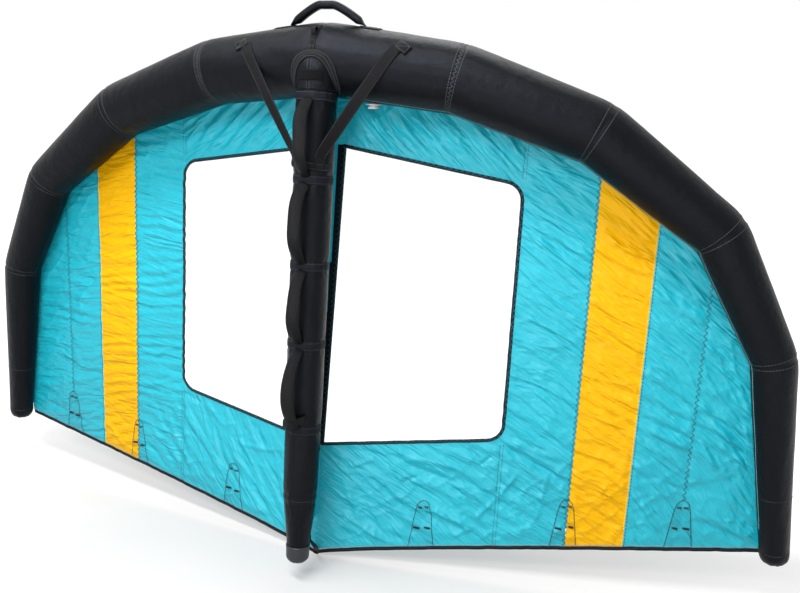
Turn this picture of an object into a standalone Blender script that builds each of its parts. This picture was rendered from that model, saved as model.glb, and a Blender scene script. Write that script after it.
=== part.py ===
"""Inflatable wing for wingfoiling: an air-filled C-shaped leading edge, a centre strut with
soft handles, and a canopy of sewn panels with two clear windows.

Metres. +X along the span, -Y towards the rider, +Z towards the leading edge.
The origin is on the underside of the carry handle on top of the leading edge, where the wing hangs.
"""
import math

import bmesh
import bpy
import numpy as np
from mathutils import Vector

# Overall wing
half_span = 1.50
centre_chord = 1.69
tip_rise = 0.15
kink_span_shares = (0.0, 0.276, 0.557, 0.808, 0.939, 1.0)
kink_drop_shares = (0.0, 0.0287, 0.1131, 0.2763, 0.4947, 0.876)

# Fits between pieces
seat_gap = 0.0003
layer_gap = 0.0004
running_gap = 0.0006
cut_overrun = 0.02

# Leading edge tube
edge_radii = (0.110, 0.106, 0.096, 0.081, 0.068, 0.045)
sleeve_thickness = 0.0015
sleeve_sides = 24
bladder_sides = 16
bladder_thickness = 0.0012
bladder_slack = 0.0005
tip_cap_length = 0.030
tip_cap_seam = 0.010
tip_cap_straight_share = 0.45
tip_cap_turns = (30, 58)
tip_cap_end_share = 0.30
tip_cap_floor_share = 0.25
crease_angle = math.radians(40)
attach_steps = 4

# Carry handle on top of the leading edge
carry_clear = 0.036
carry_thickness = 0.026
carry_width = 0.030
carry_half_length = 0.122
carry_bead = 0.008
carry_seat_gap = 0.0001
carry_flat_share = 0.10
carry_full_share = 0.45
carry_steps = 6
carry_stub = 0.012
top_steps = 12
octagon_share = math.tan(math.pi / 8)
tab_length = 0.050
tab_inset = 0.018
tab_thickness = 0.002
tab_steps = 1

# Strut
strut_top_drop = 0.095
strut_end_drop = 1.615
strut_top_offset = 0.075
strut_end_offset = 0.224
strut_radii = (0.0635, 0.0612, 0.058, 0.0555, 0.0395, 0.0395)
strut_station_shares = (0.0, 0.30, 0.62, 0.855, 0.970, 1.0)
strut_bladder_drop = 0.145
band_shares = (0.012, 0.176, 0.352, 0.518, 0.7025)
band_width = 0.028
band_height = 0.0022
band_ramp = 0.003
dome_height = 0.125
dome_width_shares = (1.0, 1.0, 0.97, 0.86, 0.62, 0.34)
dome_height_shares = (0.0, 0.25, 0.50, 0.70, 0.87, 0.96)
dome_wall = 0.0025
tail_cap_length = 0.062
tail_cap_wall = 0.0016
tail_cap_round = 0.022
tail_foot_radius = 0.016

# Strut handles
grip_width = 0.042
grip_thickness = 0.007
grip_standoff = 0.058
grip_bead = 0.0055
grip_curve_power = 3
grip_full_share = 0.55
grip_stations = 12
grip_stub = 0.012
grip_end_gap = 0.003

# Braces from the leading edge to the strut
brace_width = 0.038
brace_thickness = 0.0024
brace_span = 0.268
brace_first_step = 15
brace_wrap_steps = 2
brace_step_shift = 0.016
brace_clearance = 0.0016
brace_strut_drop = 0.285
brace_strut_angle = math.radians(40)
brace_lap = 0.030
brace_free_steps = 3

# Hook-and-loop patch on the dome
closure_low_share = 0.20
closure_high_share = 0.45
closure_angle = math.radians(39)
closure_thickness = 0.0018

# Canopy
cloth_thickness = 0.0012
trailing_tip_drop = 1.495
trailing_curve_power = 0.8
trailing_centre_offset = 0.080
canopy_tip_share = 0.95
centre_strip_half = 0.028
window_half_seam = 0.618
stripe_inner = 0.852
stripe_outer = 1.038
window_top_inner_drop = 0.270
window_top_outer_drop = 0.365
window_bottom_inner_drop = 1.290
window_bottom_outer_drop = 1.209
window_corner = 0.050
corner_steps = 4
cell_width = 0.085
cell_height = 0.12
window_tape_width = 0.015
hem_height = 0.012
hem_thickness = 0.003
hem_end_gap = 0.004

# Web between the strut and the canopy
web_top_drop = 0.125
web_bottom_drop = 1.555

# Tie at the strut's tail
tie_width = 0.025
tie_thickness = 0.002
tie_clearance = 0.006

# Batten pockets
batten_span_shares = (0.2467, 0.5633, 0.8073)
pocket_lift = 0.004
pocket_height = 0.168
pocket_base = 0.090
pocket_top = 0.052
pocket_wall = 0.0012
pocket_round_share = 0.72
pocket_side_share = 0.90
pocket_end_share = 0.08
batten_length = 0.135
batten_width = 0.018
batten_thickness = 0.0018

# Inflation valve, under the leading edge
valve_span = 0.165
valve_flange_radius = 0.026
valve_flange_thickness = 0.0035
valve_neck_radius = 0.0145
valve_bore_radius = 0.0115
valve_neck_inner = 0.012
valve_rim_height = 0.006
valve_cap_radius = 0.018
valve_cap_thickness = 0.005
valve_arm_width = 0.010
valve_arm_inset = 0.001
valve_arm_overlap = 0.003
valve_bead = 0.0025

# Air hose from the leading edge to the strut
hose_radius = 0.0105
hose_wall = 0.002
hose_span = 0.110
hose_strut_drop = 0.165
hose_strut_angle = math.radians(118)
hose_reach = 0.006
hose_straight = 0.008
hose_bend = 0.035
hose_sides = 12
hose_steps = 10

# Colours (linear), roughness, metallic
finishes = {
    "sleeve": ((0.012, 0.012, 0.015), 0.55, 0.0),
    "webbing": ((0.010, 0.010, 0.012), 0.70, 0.0),
    "teal": ((0.025, 0.50, 0.60), 0.50, 0.0),
    "yellow": ((1.0, 0.50, 0.0), 0.50, 0.0),
    "film": ((0.85, 0.88, 0.90), 0.10, 0.0),
    "trim": ((0.015, 0.020, 0.035), 0.60, 0.0),
    "bladder": ((0.75, 0.75, 0.72), 0.30, 0.0),
    "batten": ((0.80, 0.80, 0.78), 0.35, 0.0),
    "valve": ((0.60, 0.62, 0.64), 0.40, 0.0),
}

across = Vector((1, 0, 0))
back = Vector((0, 1, 0))
up = Vector((0, 0, 1))
edge_height = -(edge_radii[0] + carry_clear)


def clear_scene():
    for item in list(bpy.data.objects):
        bpy.data.objects.remove(item, do_unlink=True)


def finish(kind):
    """The material of one kind of cloth, film or plastic."""
    material = bpy.data.materials.get(kind)
    if material is None:
        colour, roughness, metallic = finishes[kind]
        material = bpy.data.materials.new(kind)
        material.use_nodes = True
        shader = material.node_tree.nodes["Principled BSDF"]
        shader.inputs["Base Color"].default_value = (*colour, 1.0)
        shader.inputs["Roughness"].default_value = roughness
        shader.inputs["Metallic"].default_value = metallic
    return material


def add_solid(name, points, faces, kind, origin=Vector(), smooth=True):
    """One closed solid, with its object's origin at a chosen point."""
    mesh = bpy.data.meshes.new(name)
    mesh.from_pydata([Vector(p) - origin for p in points], [], faces)
    shell = bmesh.new()
    shell.from_mesh(mesh)
    bmesh.ops.recalc_face_normals(shell, faces=shell.faces)
    if shell.calc_volume(signed=True) < 0:
        bmesh.ops.reverse_faces(shell, faces=shell.faces)
    shell.to_mesh(mesh)
    shell.free()
    if smooth:
        mesh.shade_smooth()
        mesh.set_sharp_from_angle(angle=crease_angle)
    mesh.materials.append(finish(kind))
    solid = bpy.data.objects.new(name, mesh)
    solid.location = origin
    bpy.context.collection.objects.link(solid)
    return solid


def mirrored(points, faces):
    """The same solid on the other side of the centre plane."""
    return [Vector((-p[0], p[1], p[2])) for p in points], [tuple(reversed(f)) for f in faces]


def add_pair(name, points, faces, kind, smooth=True):
    """A solid on the right half and its mirror image on the left half."""
    right = add_solid(name + "_right", points, faces, kind, smooth=smooth)
    left = add_solid(name + "_left", *mirrored(points, faces), kind, smooth=smooth)
    return right, left


def cut(solid, name, points, faces):
    """Take a closed cutter's shape out of a solid."""
    cutter = add_solid(name, points, faces, "trim")
    cutter.hide_render = True
    cutter.display_type = "WIRE"
    modifier = solid.modifiers.new(name, "BOOLEAN")
    modifier.operation = "DIFFERENCE"
    modifier.solver = "EXACT"
    modifier.object = cutter


def split(a, b, c, d):
    """The two triangles of a four-sided face, cut from its first corner to its third."""
    return [(a, b, c), (a, c, d)]


def skin(rings, closed_path=False):
    """Points and faces of a surface through equal rings; open paths get end faces."""
    size = len(rings[0])
    points = [p for ring in rings for p in ring]
    faces = []
    spans = len(rings) if closed_path else len(rings) - 1
    for k in range(spans):
        first = k * size
        second = ((k + 1) % len(rings)) * size
        coming_back = closed_path and k >= len(rings) / 2
        for j in range(size):
            following = (j + 1) % size
            if coming_back:
                faces += split(first + following, second + following, second + j, first + j)
            else:
                faces += split(first + j, first + following, second + following, second + j)
    if not closed_path:
        faces.append(tuple(reversed(range(size))))
        faces.append(tuple(range(len(points) - size, len(points))))
    return points, faces


def circle(centre, first, second, radius, sides):
    """A ring of points that turns from the first direction towards the second."""
    turns = [2 * math.pi * j / sides for j in range(sides)]
    return [centre + radius * (math.cos(a) * first + math.sin(a) * second) for a in turns]


def turned(axis_point, axis, first, profile, sides, closed_path):
    """A turned solid: profile rows are (distance along the axis, radius)."""
    second = axis.cross(first)
    rings = [circle(axis_point + axis * along, first, second, radius, sides) for along, radius in profile]
    return skin(rings, closed_path)


# Leading edge: kinks, mitre planes and places on the tube

def edge_stations():
    """The kinks of the tube's centreline on the right half, from the centre to the tip."""
    places = []
    for span_share, drop_share in zip(kink_span_shares, kink_drop_shares):
        depth = tip_rise * span_share
        places.append(Vector((half_span * span_share, depth, edge_height - centre_chord * drop_share)))
    return places


stations = edge_stations()


def run_after(index):
    """The tube's direction after a kink, or before it at the tip."""
    index = min(index, len(stations) - 2)
    return (stations[index + 1] - stations[index]).normalized()


def mitre(index):
    """The mitre plane's normal at a kink, and the inward and back directions in the plane."""
    if index == 0:
        normal = across
    else:
        before = (stations[index] - stations[index - 1]).normalized()
        normal = (before + run_after(index)).normalized()
    behind = (back - back.dot(normal) * normal).normalized()
    return normal, behind.cross(normal), behind


def edge_ring(index, radius, shift, sides):
    """The tube's outline in the mitre plane at a kink, moved along by a small shift."""
    normal, inward, behind = mitre(index)
    run = run_after(index)
    ring = []
    for way in circle(Vector(), inward, behind, 1, sides):
        reach = radius / math.sqrt(1 - way.dot(run) ** 2)
        ring.append(stations[index] + normal * shift + way * reach)
    return ring


def edge_place(span, steps, lift):
    """A place on the straight first or second panel, at a step of the tube's sides."""
    index = 0 if span <= stations[1].x else 1
    share = (span - stations[index].x) / (stations[index + 1].x - stations[index].x)
    centre = stations[index].lerp(stations[index + 1], share)
    radius = edge_radii[index] + (edge_radii[index + 1] - edge_radii[index]) * share + lift
    direction = (stations[index + 1] - stations[index]).normalized()
    behind = (back - back.dot(direction) * direction).normalized()
    inward = behind.cross(direction)
    angle = 2 * math.pi * steps / sleeve_sides
    return centre + radius * (math.cos(angle) * inward + math.sin(angle) * behind)


def edge_normal(span, steps):
    return (edge_place(span, steps, 1.0) - edge_place(span, steps, 0.0)).normalized()


def make_edge_panels():
    """The ten sewn lengths of the leading edge sleeve, open at both ends."""
    panels = []
    for index in range(len(stations) - 1):
        last = index == len(stations) - 2
        end_shift = -tip_cap_seam if last else -seat_gap / 2
        start_outer = edge_radii[index]
        end_outer = edge_radii[index + 1]
        rings = [
            edge_ring(index, start_outer, seat_gap / 2, sleeve_sides),
            edge_ring(index, start_outer - sleeve_thickness, seat_gap / 2, sleeve_sides),
            edge_ring(index + 1, end_outer - sleeve_thickness, end_shift, sleeve_sides),
            edge_ring(index + 1, end_outer, end_shift, sleeve_sides),
        ]
        points, faces = skin(rings, closed_path=True)
        panels.append(add_pair("edge_panel_%d" % (index + 1), points, faces, "sleeve"))
    return panels


def make_tip_caps():
    """Rounded fabric ends sewn over the tips of the tube."""
    normal, inward, behind = mitre(len(stations) - 1)
    radius = edge_radii[-1]
    start = seat_gap - tip_cap_seam
    full = start + tip_cap_length * tip_cap_straight_share
    bulge = [(start, radius), (full, radius)]
    for turn in np.radians(tip_cap_turns):
        bulge.append((full + tip_cap_length * math.sin(turn), radius * math.cos(turn)))
    bulge.append((full + tip_cap_length, radius * tip_cap_end_share))
    hollow = [(full + tip_cap_length - 2 * sleeve_thickness, radius * tip_cap_floor_share)]
    hollow.append((full, radius - 2 * sleeve_thickness))
    hollow.append((start, radius - 2 * sleeve_thickness))
    rings = []
    for along, ring_radius in bulge + hollow:
        rings.append(circle(stations[-1] + normal * along, inward, behind, ring_radius, sleeve_sides))
    outer = rings[:len(bulge)]
    inner = rings[len(bulge):]
    points, faces = cup(outer, inner)
    add_pair("tip_cap", points, faces, "sleeve")


def cup(outer, inner):
    """A closed cup from outer rings, rim to foot, and inner rings, foot to rim."""
    rings = outer + inner
    size = len(rings[0])
    points = [p for ring in rings for p in ring]
    faces = []
    for k in range(len(rings)):
        if k == len(outer) - 1:
            continue
        first = k * size
        second = ((k + 1) % len(rings)) * size
        for j in range(size):
            following = (j + 1) % size
            faces.append((first + j, first + following, second + following, second + j))
    foot = (len(outer) - 1) * size
    faces.append(tuple(range(foot, foot + size)))
    floor = len(outer) * size
    faces.append(tuple(reversed(range(floor, floor + size))))
    return points, faces


def facet_inradius(radius):
    """The largest circle inside the tube's faceted bore."""
    return radius * math.cos(math.pi / sleeve_sides)


def make_edge_bladder(panels):
    """The airtight bladder inside the leading edge, with holes for the valve and the hose."""
    half_rings = {"outer": [], "inner": []}
    for index in range(len(stations)):
        shift = -tip_cap_seam - bladder_thickness if index == len(stations) - 1 else 0.0
        radius = facet_inradius(edge_radii[index] - sleeve_thickness) - bladder_slack
        inner_shift = shift - bladder_thickness if shift else 0.0
        half_rings["outer"].append(edge_ring(index, radius, shift, bladder_sides))
        half_rings["inner"].append(edge_ring(index, radius - bladder_thickness, inner_shift, bladder_sides))
    solids = {}
    for layer, rings in half_rings.items():
        left = [[Vector((-p.x, p.y, p.z)) for p in ring] for ring in reversed(rings[1:])]
        solids[layer] = skin(left + rings)
    bladder = add_solid("edge_bladder", *solids["outer"], "bladder")
    cut(bladder, "edge_bladder_air", *solids["inner"])
    right_panel, left_panel = panels[0]
    valve_hole = turned(valve_seat(), -up, across, hole_profile(valve_neck_radius), bladder_sides, False)
    cut(right_panel, "valve_hole_sleeve", *valve_hole)
    cut(bladder, "valve_hole_bladder", *valve_hole)
    start, direction, _, _ = hose_ends()
    hose_hole = turned(start, direction, back, hole_profile(hose_radius), hose_sides, False)
    cut(left_panel, "hose_hole_sleeve", *hose_hole)
    cut(bladder, "hose_hole_bladder", *hose_hole)


def hole_profile(radius):
    return [(-cut_overrun, radius + running_gap), (cut_overrun, radius + running_gap)]


# Strut: a line from its top to its tail, a front direction and a radius at each place

strut_top = Vector((0, -strut_top_offset, edge_height - strut_top_drop))
strut_end = Vector((0, -strut_end_offset, edge_height - strut_end_drop))
strut_length = (strut_end - strut_top).length
strut_axis = (strut_end - strut_top).normalized()
strut_front = (-back + back.dot(strut_axis) * strut_axis).normalized()


def strut_radius(along):
    return float(np.interp(along / strut_length, strut_station_shares, strut_radii))


def strut_along(drop):
    """Distance down the strut's axis at a drop below the leading edge's axis."""
    return (edge_height - drop - strut_top.z) / strut_axis.z


def strut_place(along, angle, lift):
    """A place over the strut's surface; the angle turns from the front towards the right."""
    outward = strut_front * math.cos(angle) + across * math.sin(angle)
    return strut_top + strut_axis * along + outward * (strut_radius(along) + lift)


def band_rows():
    """Profile rows of the sleeve's outside, with its raised bands."""
    rows = {0.0: 0.0, strut_length: 0.0}
    for share in strut_station_shares[1:-1]:
        rows[share * strut_length] = 0.0
    for share in band_shares:
        middle = share * strut_length
        half = band_width / 2
        for end in (middle - half, middle + half):
            rows[end] = band_height
        rows[middle - half - band_ramp] = 0.0
        rows[middle + half + band_ramp] = 0.0
    return [(along, strut_radius(along) + rows[along]) for along in sorted(rows)]


def edge_cutter():
    """The leading edge tube near the strut, one gap larger."""
    rings = [edge_ring(index, edge_radii[index] + seat_gap, 0.0, sleeve_sides) for index in (0, 1)]
    left = [Vector((-p.x, p.y, p.z)) for p in rings[1]]
    return skin([left] + rings)


def make_strut():
    """The strut's fabric sleeve and the bladder inside it."""
    outer = [row for row in band_rows() if row[0] >= 0.0]
    inner = [(share * strut_length, radius - sleeve_thickness)
             for share, radius in zip(strut_station_shares, strut_radii)]
    profile = outer + list(reversed(inner))
    shell = turned(strut_top, strut_axis, strut_front, profile, sleeve_sides, True)
    sleeve = add_solid("strut_sleeve", *shell, "sleeve")
    cut(sleeve, "strut_sleeve_seat", *edge_cutter())
    start = strut_along(strut_bladder_drop)
    end = strut_length - bladder_thickness - tail_cap_wall
    kinks = [share * strut_length for share in strut_station_shares]
    places = [start] + [kink for kink in kinks if start < kink < end] + [end]
    shells = []
    for inset in (0.0, bladder_thickness):
        rows = []
        for along in places:
            radius = facet_inradius(strut_radius(along) - sleeve_thickness) - bladder_slack - inset
            rows.append((along, radius))
        rows[0] = (rows[0][0] + inset, rows[0][1])
        rows[-1] = (rows[-1][0] - inset, rows[-1][1])
        shells.append(turned(strut_top, strut_axis, strut_front, rows, bladder_sides, False))
    bladder = add_solid("strut_bladder", *shells[0], "bladder")
    cut(bladder, "strut_bladder_air", *shells[1])
    _, _, finish_point, direction = hose_ends()
    hose_hole = turned(finish_point, direction, strut_axis, hole_profile(hose_radius), hose_sides, False)
    cut(sleeve, "hose_hole_strut", *hose_hole)
    cut(bladder, "hose_hole_strut_bladder", *hose_hole)


def dome_rows(inset):
    """Profile rows of the dome, rim to apex, with heights measured up the strut's axis."""
    full = strut_radii[0] + band_height - inset
    height = dome_height - inset
    rows = []
    for width_share, height_share in zip(dome_width_shares, dome_height_shares):
        rows.append((-seat_gap - height * height_share, full * width_share))
    return rows


def make_dome():
    """The fabric dome that joins the strut's head to the front of the leading edge."""
    outer = [circle(strut_top + strut_axis * along, strut_front, across, radius, sleeve_sides)
             for along, radius in dome_rows(0.0)]
    inner = [circle(strut_top + strut_axis * along, strut_front, across, radius, sleeve_sides)
             for along, radius in reversed(dome_rows(dome_wall))]
    dome = add_solid("strut_dome", *cup(outer, inner), "sleeve")
    cut(dome, "strut_dome_seat", *edge_cutter())


def make_closure_patch():
    """The hook-and-loop patch sewn across the dome."""
    rows = dome_rows(0.0)
    heights = [h for h in dome_height_shares if closure_low_share < h < closure_high_share]
    heights = [closure_low_share] + heights + [closure_high_share]
    step = 2 * math.pi / sleeve_sides
    angles = [k * step for k in range(-sleeve_sides, sleeve_sides) if abs(k * step) < closure_angle]
    angles = [-closure_angle] + angles + [closure_angle]
    faces_of = []
    for lift in (seat_gap, seat_gap + closure_thickness):
        grid = []
        for share in heights:
            along = -seat_gap - dome_height * share
            radius = float(np.interp(share, dome_height_shares, [r for _, r in rows])) + lift
            centre = strut_top + strut_axis * along
            ways = [strut_front * math.cos(a) + across * math.sin(a) for a in angles]
            grid.append([centre + radius * way for way in ways])
        faces_of.append(grid)
    add_solid("closure_patch", *slab(*faces_of), "webbing")


def slab(front, rear):
    """A closed thin solid between two equal grids of points."""
    rows = len(front)
    columns = len(front[0])
    points = [p for grid in (front, rear) for row in grid for p in row]
    shift = rows * columns
    faces = []
    for r in range(rows - 1):
        for c in range(columns - 1):
            a = r * columns + c
            b = a + columns
            faces += split(a, a + 1, b + 1, b)
            faces += split(shift + a, shift + b, shift + b + 1, shift + a + 1)
    rim = [c for c in range(columns)]
    rim += [r * columns + columns - 1 for r in range(1, rows)]
    rim += [(rows - 1) * columns + c for c in reversed(range(columns - 1))]
    rim += [r * columns for r in reversed(range(1, rows - 1))]
    for here, there in zip(rim, rim[1:] + rim[:1]):
        faces.append((there, here, shift + here, shift + there))
    return points, faces


def make_tail_cap():
    """The hard cap over the strut's tail, flat at its foot."""
    radius = strut_radii[-1] + running_gap
    start = strut_length - tail_cap_length + tail_cap_round
    shoulder = strut_length + running_gap
    foot = shoulder + tail_cap_round
    outside = radius + tail_cap_wall
    middle_radius = tail_foot_radius + (outside - tail_foot_radius) * math.cos(math.pi / 4)
    outer = [(start, outside), (shoulder, outside)]
    outer.append((shoulder + tail_cap_round * math.sin(math.pi / 4), middle_radius))
    outer.append((foot, tail_foot_radius))
    inner = [(shoulder + tail_cap_wall, tail_foot_radius), (shoulder, radius), (start, radius)]
    rings = [circle(strut_top + strut_axis * along, strut_front, across, r, sleeve_sides)
             for along, r in outer + inner]
    add_solid("tail_cap", *cup(rings[:len(outer)], rings[len(outer):]), "trim")


# Handles, braces and tabs made of webbing

def octagon(half_width, half_thickness, corner_share):
    """An eight-sided section as (sideways, outward) offsets."""
    w, t, c = half_width, half_thickness, corner_share
    right_side = [(w * c, -t), (w, -t * c), (w, t * c), (w * c, t)]
    left_side = [(-a, b) for a, b in reversed(right_side)]
    return right_side + left_side


def strap(centres, sections, sideways):
    """A strap through centres; each section is a list of (sideways, outward) offsets."""
    rings = []
    for k, centre in enumerate(centres):
        before = (centre - centres[k - 1]).normalized() if k else Vector()
        after = (centres[k + 1] - centre).normalized() if k + 1 < len(centres) else Vector()
        tangent = (before + after).normalized()
        width_way = sideways[k] - sideways[k].dot(tangent) * tangent
        width_way.normalize()
        outward = tangent.cross(width_way)
        rings.append([centre + width_way * a + outward * b for a, b in sections[k]])
    return skin(rings)


def bead_reach(bead):
    """Half the bead's width over its corners, which it sweeps as it turns."""
    return bead / math.cos(math.pi / 8)


def grip_hinge(number):
    """The two ends of a strut handle's hinge line."""
    ends = []
    for share, way in ((band_shares[number], 1), (band_shares[number + 1], -1)):
        along = share * strut_length + way * grip_end_gap
        lift = band_height + seat_gap + bead_reach(grip_bead)
        ends.append(strut_place(along, 0.0, lift))
    return ends


def make_grips():
    """The four soft handles down the strut's front, each on its hinge line."""
    for number in range(len(band_shares) - 1):
        start, end = grip_hinge(number)
        line = (end - start).normalized()
        outward = across.cross(line)
        outward = outward if outward.dot(strut_front) > 0 else -outward
        centres = [start, start + line * grip_stub]
        sizes = [(grip_bead, grip_bead)] * 2
        run = (end - start).length - 2 * grip_stub
        for k in range(1, grip_stations - 1):
            share = k / (grip_stations - 1)
            rise = 1 - abs(2 * share - 1) ** grip_curve_power
            centres.append(start + line * (grip_stub + run * share) + outward * grip_standoff * rise)
            fullness = min(1.0, rise / grip_full_share)
            half_width = grip_bead + (grip_width / 2 - grip_bead) * fullness
            half_thickness = grip_bead + (grip_thickness / 2 - grip_bead) * fullness
            sizes.append((half_width, half_thickness))
        centres += [end - line * grip_stub, end]
        sizes += [(grip_bead, grip_bead)] * 2
        sections = [octagon(w, t, octagon_share) for w, t in sizes]
        points, faces = strap(centres, sections, [across] * len(centres))
        add_solid("strut_handle_%d" % (number + 1), points, faces, "webbing", origin=start)


def carry_hinge():
    """The right end of the carry handle's hinge line."""
    lift = seat_gap + tab_thickness + carry_seat_gap
    lean = edge_place(carry_half_length, top_steps, lift).x - carry_half_length
    seat = edge_place(carry_half_length - lean, top_steps, lift)
    return seat + up * bead_reach(carry_bead)


def make_carry_handle():
    """The padded handle on top of the leading edge; its underside is the origin."""
    hinge = carry_hinge()
    rise = carry_thickness / 2 - hinge.z
    shares = [k / carry_steps for k in range(carry_steps + 1)]
    half = [carry_flat_share + (1 - carry_flat_share) * s for s in shares]
    half += [1 + carry_stub / carry_half_length]
    path = [-h for h in reversed(half)] + half
    centres = []
    sections = []
    for share in path:
        height = (1 - share ** 2) / (1 - carry_flat_share ** 2) if abs(share) < 1 else 0.0
        centres.append(Vector((carry_half_length * share, hinge.y * (1 - height), hinge.z + rise * height)))
        fullness = min(1.0, height / carry_full_share)
        half_width = carry_bead + (carry_width / 2 - carry_bead) * fullness
        half_thickness = carry_bead + (carry_thickness / 2 - carry_bead) * fullness
        sections.append(octagon(half_width, half_thickness, octagon_share))
    points, faces = strap(centres, sections, [back] * len(centres))
    add_solid("carry_handle", points, faces, "webbing", origin=Vector((0, hinge.y, hinge.z)))


def edge_patch(spans, steps, lift, thickness):
    """A thin patch on the tube, between two heights over its sides."""
    grids = []
    for height in (lift, lift + thickness):
        grids.append([[edge_place(span, step, height) for step in steps] for span in spans])
    return slab(*grids)


def make_carry_tabs():
    """The webbing tabs sewn to the tube under the carry handle's ends."""
    first = carry_half_length - tab_inset
    spans = (first, first + tab_length / 2, first + tab_length)
    steps = range(top_steps - tab_steps, top_steps + tab_steps + 1)
    add_pair("carry_tab", *edge_patch(spans, steps, seat_gap, tab_thickness), "webbing")


def make_braces():
    """The straps that run from the front of the leading edge down to the strut."""
    lift = brace_thickness / 2 + brace_clearance
    centres = []
    normals = []
    for k in range(brace_wrap_steps + 1):
        span = brace_span - brace_step_shift * k
        step = brace_first_step + k
        centres.append(edge_place(span, step, lift))
        normals.append(edge_normal(span, step if k else step + 1 / 2))
    along = strut_along(brace_strut_drop)
    landing = strut_place(along, brace_strut_angle, lift)
    outward = strut_front * math.cos(brace_strut_angle) + across * math.sin(brace_strut_angle)
    for k in range(1, brace_free_steps):
        share = k / brace_free_steps
        centres.append(centres[brace_wrap_steps].lerp(landing, share))
        normals.append(normals[brace_wrap_steps].lerp(outward, share).normalized())
    centres += [landing, landing + strut_axis * brace_lap]
    normals += [outward, outward]
    sideways = []
    for k, normal in enumerate(normals):
        near = centres[min(k + 1, len(centres) - 1)] - centres[max(k - 1, 0)]
        sideways.append(near.cross(normal).normalized())
    grids = []
    for side in (-brace_thickness / 2, brace_thickness / 2):
        grid = []
        for centre, normal, way in zip(centres, normals, sideways):
            middle = centre + normal * side
            grid.append([middle - way * brace_width / 2, middle + way * brace_width / 2])
        grids.append(grid)
    add_pair("brace", *slab(*grids), "webbing", smooth=False)


# Canopy: its edges, its depth and its panels

def attach_line():
    """The line on the back of the tube that the canopy is sewn to."""
    lift = cloth_thickness / 2 + seat_gap
    rings = [edge_ring(k, radius + lift, 0.0, sleeve_sides) for k, radius in enumerate(edge_radii)]
    return [ring[attach_steps] for ring in rings]


attach = attach_line()
attach_spans = [p.x for p in attach]
canopy_tip = attach[-2].lerp(attach[-1], canopy_tip_share)


def top_height(span):
    return float(np.interp(abs(span), attach_spans, [p.z for p in attach]))


def trailing_height(span):
    share = (abs(span) / half_span) ** trailing_curve_power
    drop = centre_chord + (trailing_tip_drop - centre_chord) * share
    return edge_height - drop


def cloth_depth(span, height):
    """The canopy's middle surface: straight from the tube down to the trailing edge."""
    span = abs(span)
    above = float(np.interp(span, attach_spans, [p.y for p in attach]))
    below = -trailing_centre_offset + (canopy_tip.y + trailing_centre_offset) * span / canopy_tip.x
    share = (top_height(span) - height) / (top_height(span) - trailing_height(span))
    return above + (below - above) * share


def columns_between(first, last):
    """Spans of the columns from one seam to the next, with the tube's kinks among them."""
    count = max(1, math.ceil((last - first) / cell_width))
    spans = [first + (last - first) * k / count for k in range(count + 1)]
    for kink in attach_spans:
        nearest = min(range(len(spans)), key=lambda k: abs(spans[k] - kink))
        if first < kink < last:
            if 0 < nearest < len(spans) - 1:
                spans[nearest] = kink
            else:
                spans.insert(1 if nearest == 0 else len(spans) - 1, kink)
    return spans


def sheet(spans, lows, highs, offset, thickness):
    """A thin solid that follows the canopy, offset along Y, between two edges."""
    tallest = max(high - low for low, high in zip(lows, highs))
    rows = max(1, math.ceil(tallest / cell_height))
    grids = []
    for side in (-thickness / 2, thickness / 2):
        grid = []
        for k in range(rows + 1):
            row = []
            for span, low, high in zip(spans, lows, highs):
                height = low + (high - low) * k / rows
                row.append(Vector((span, cloth_depth(span, height) + offset + side, height)))
            grid.append(row)
        grids.append(grid)
    return slab(*grids)


def window_line(span, inner_drop, outer_drop):
    share = (span - centre_strip_half) / (window_half_seam - centre_strip_half)
    return edge_height - inner_drop - (outer_drop - inner_drop) * share


def window_outline(inset):
    """Spans and the low and high edges of a window with rounded corners, moved in by an inset."""
    radius = window_corner - inset
    first = centre_strip_half + window_corner
    last = window_half_seam - window_corner
    turns = [math.pi / 2 * k / corner_steps for k in range(corner_steps + 1)]
    count = math.ceil((last - first) / cell_width)
    spans = [first - radius * math.cos(a) for a in turns]
    falls = [radius - radius * math.sin(a) for a in turns]
    for k in range(1, count):
        spans.append(first + (last - first) * k / count)
        falls.append(0.0)
    spans += [last + radius * math.cos(a) for a in reversed(turns)]
    falls += [radius - radius * math.sin(a) for a in reversed(turns)]
    highs = [window_line(s, window_top_inner_drop, window_top_outer_drop) - inset - f
             for s, f in zip(spans, falls)]
    lows = [window_line(s, window_bottom_inner_drop, window_bottom_outer_drop) + inset + f
            for s, f in zip(spans, falls)]
    return spans, lows, highs


def make_canopy():
    """The sewn cloth panels between the tube and the trailing edge."""
    half_seam = seat_gap / 2
    strip = [-centre_strip_half + half_seam, 0.0, centre_strip_half - half_seam]
    lows = [trailing_height(s) for s in strip]
    highs = [top_height(s) for s in strip]
    add_solid("canopy_centre_strip", *sheet(strip, lows, highs, 0.0, cloth_thickness), "trim")
    spans, window_lows, window_highs = window_outline(0.0)
    spans = [centre_strip_half + half_seam] + spans[1:-1] + [window_half_seam - half_seam]
    upper = sheet(spans, window_highs, [top_height(s) for s in spans], 0.0, cloth_thickness)
    lower = sheet(spans, [trailing_height(s) for s in spans], window_lows, 0.0, cloth_thickness)
    add_pair("canopy_upper", *upper, "teal")
    add_pair("canopy_lower", *lower, "teal")
    edges = (("canopy_middle", window_half_seam, stripe_inner, "teal"),
             ("canopy_stripe", stripe_inner, stripe_outer, "yellow"),
             ("canopy_outer", stripe_outer, canopy_tip.x, "teal"))
    for name, first, last, kind in edges:
        inset = half_seam if last < canopy_tip.x else 0.0
        spans = columns_between(first + half_seam, last - inset)
        lows = [trailing_height(s) for s in spans]
        highs = [top_height(s) for s in spans]
        add_pair(name, *sheet(spans, lows, highs, 0.0, cloth_thickness), kind)


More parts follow.
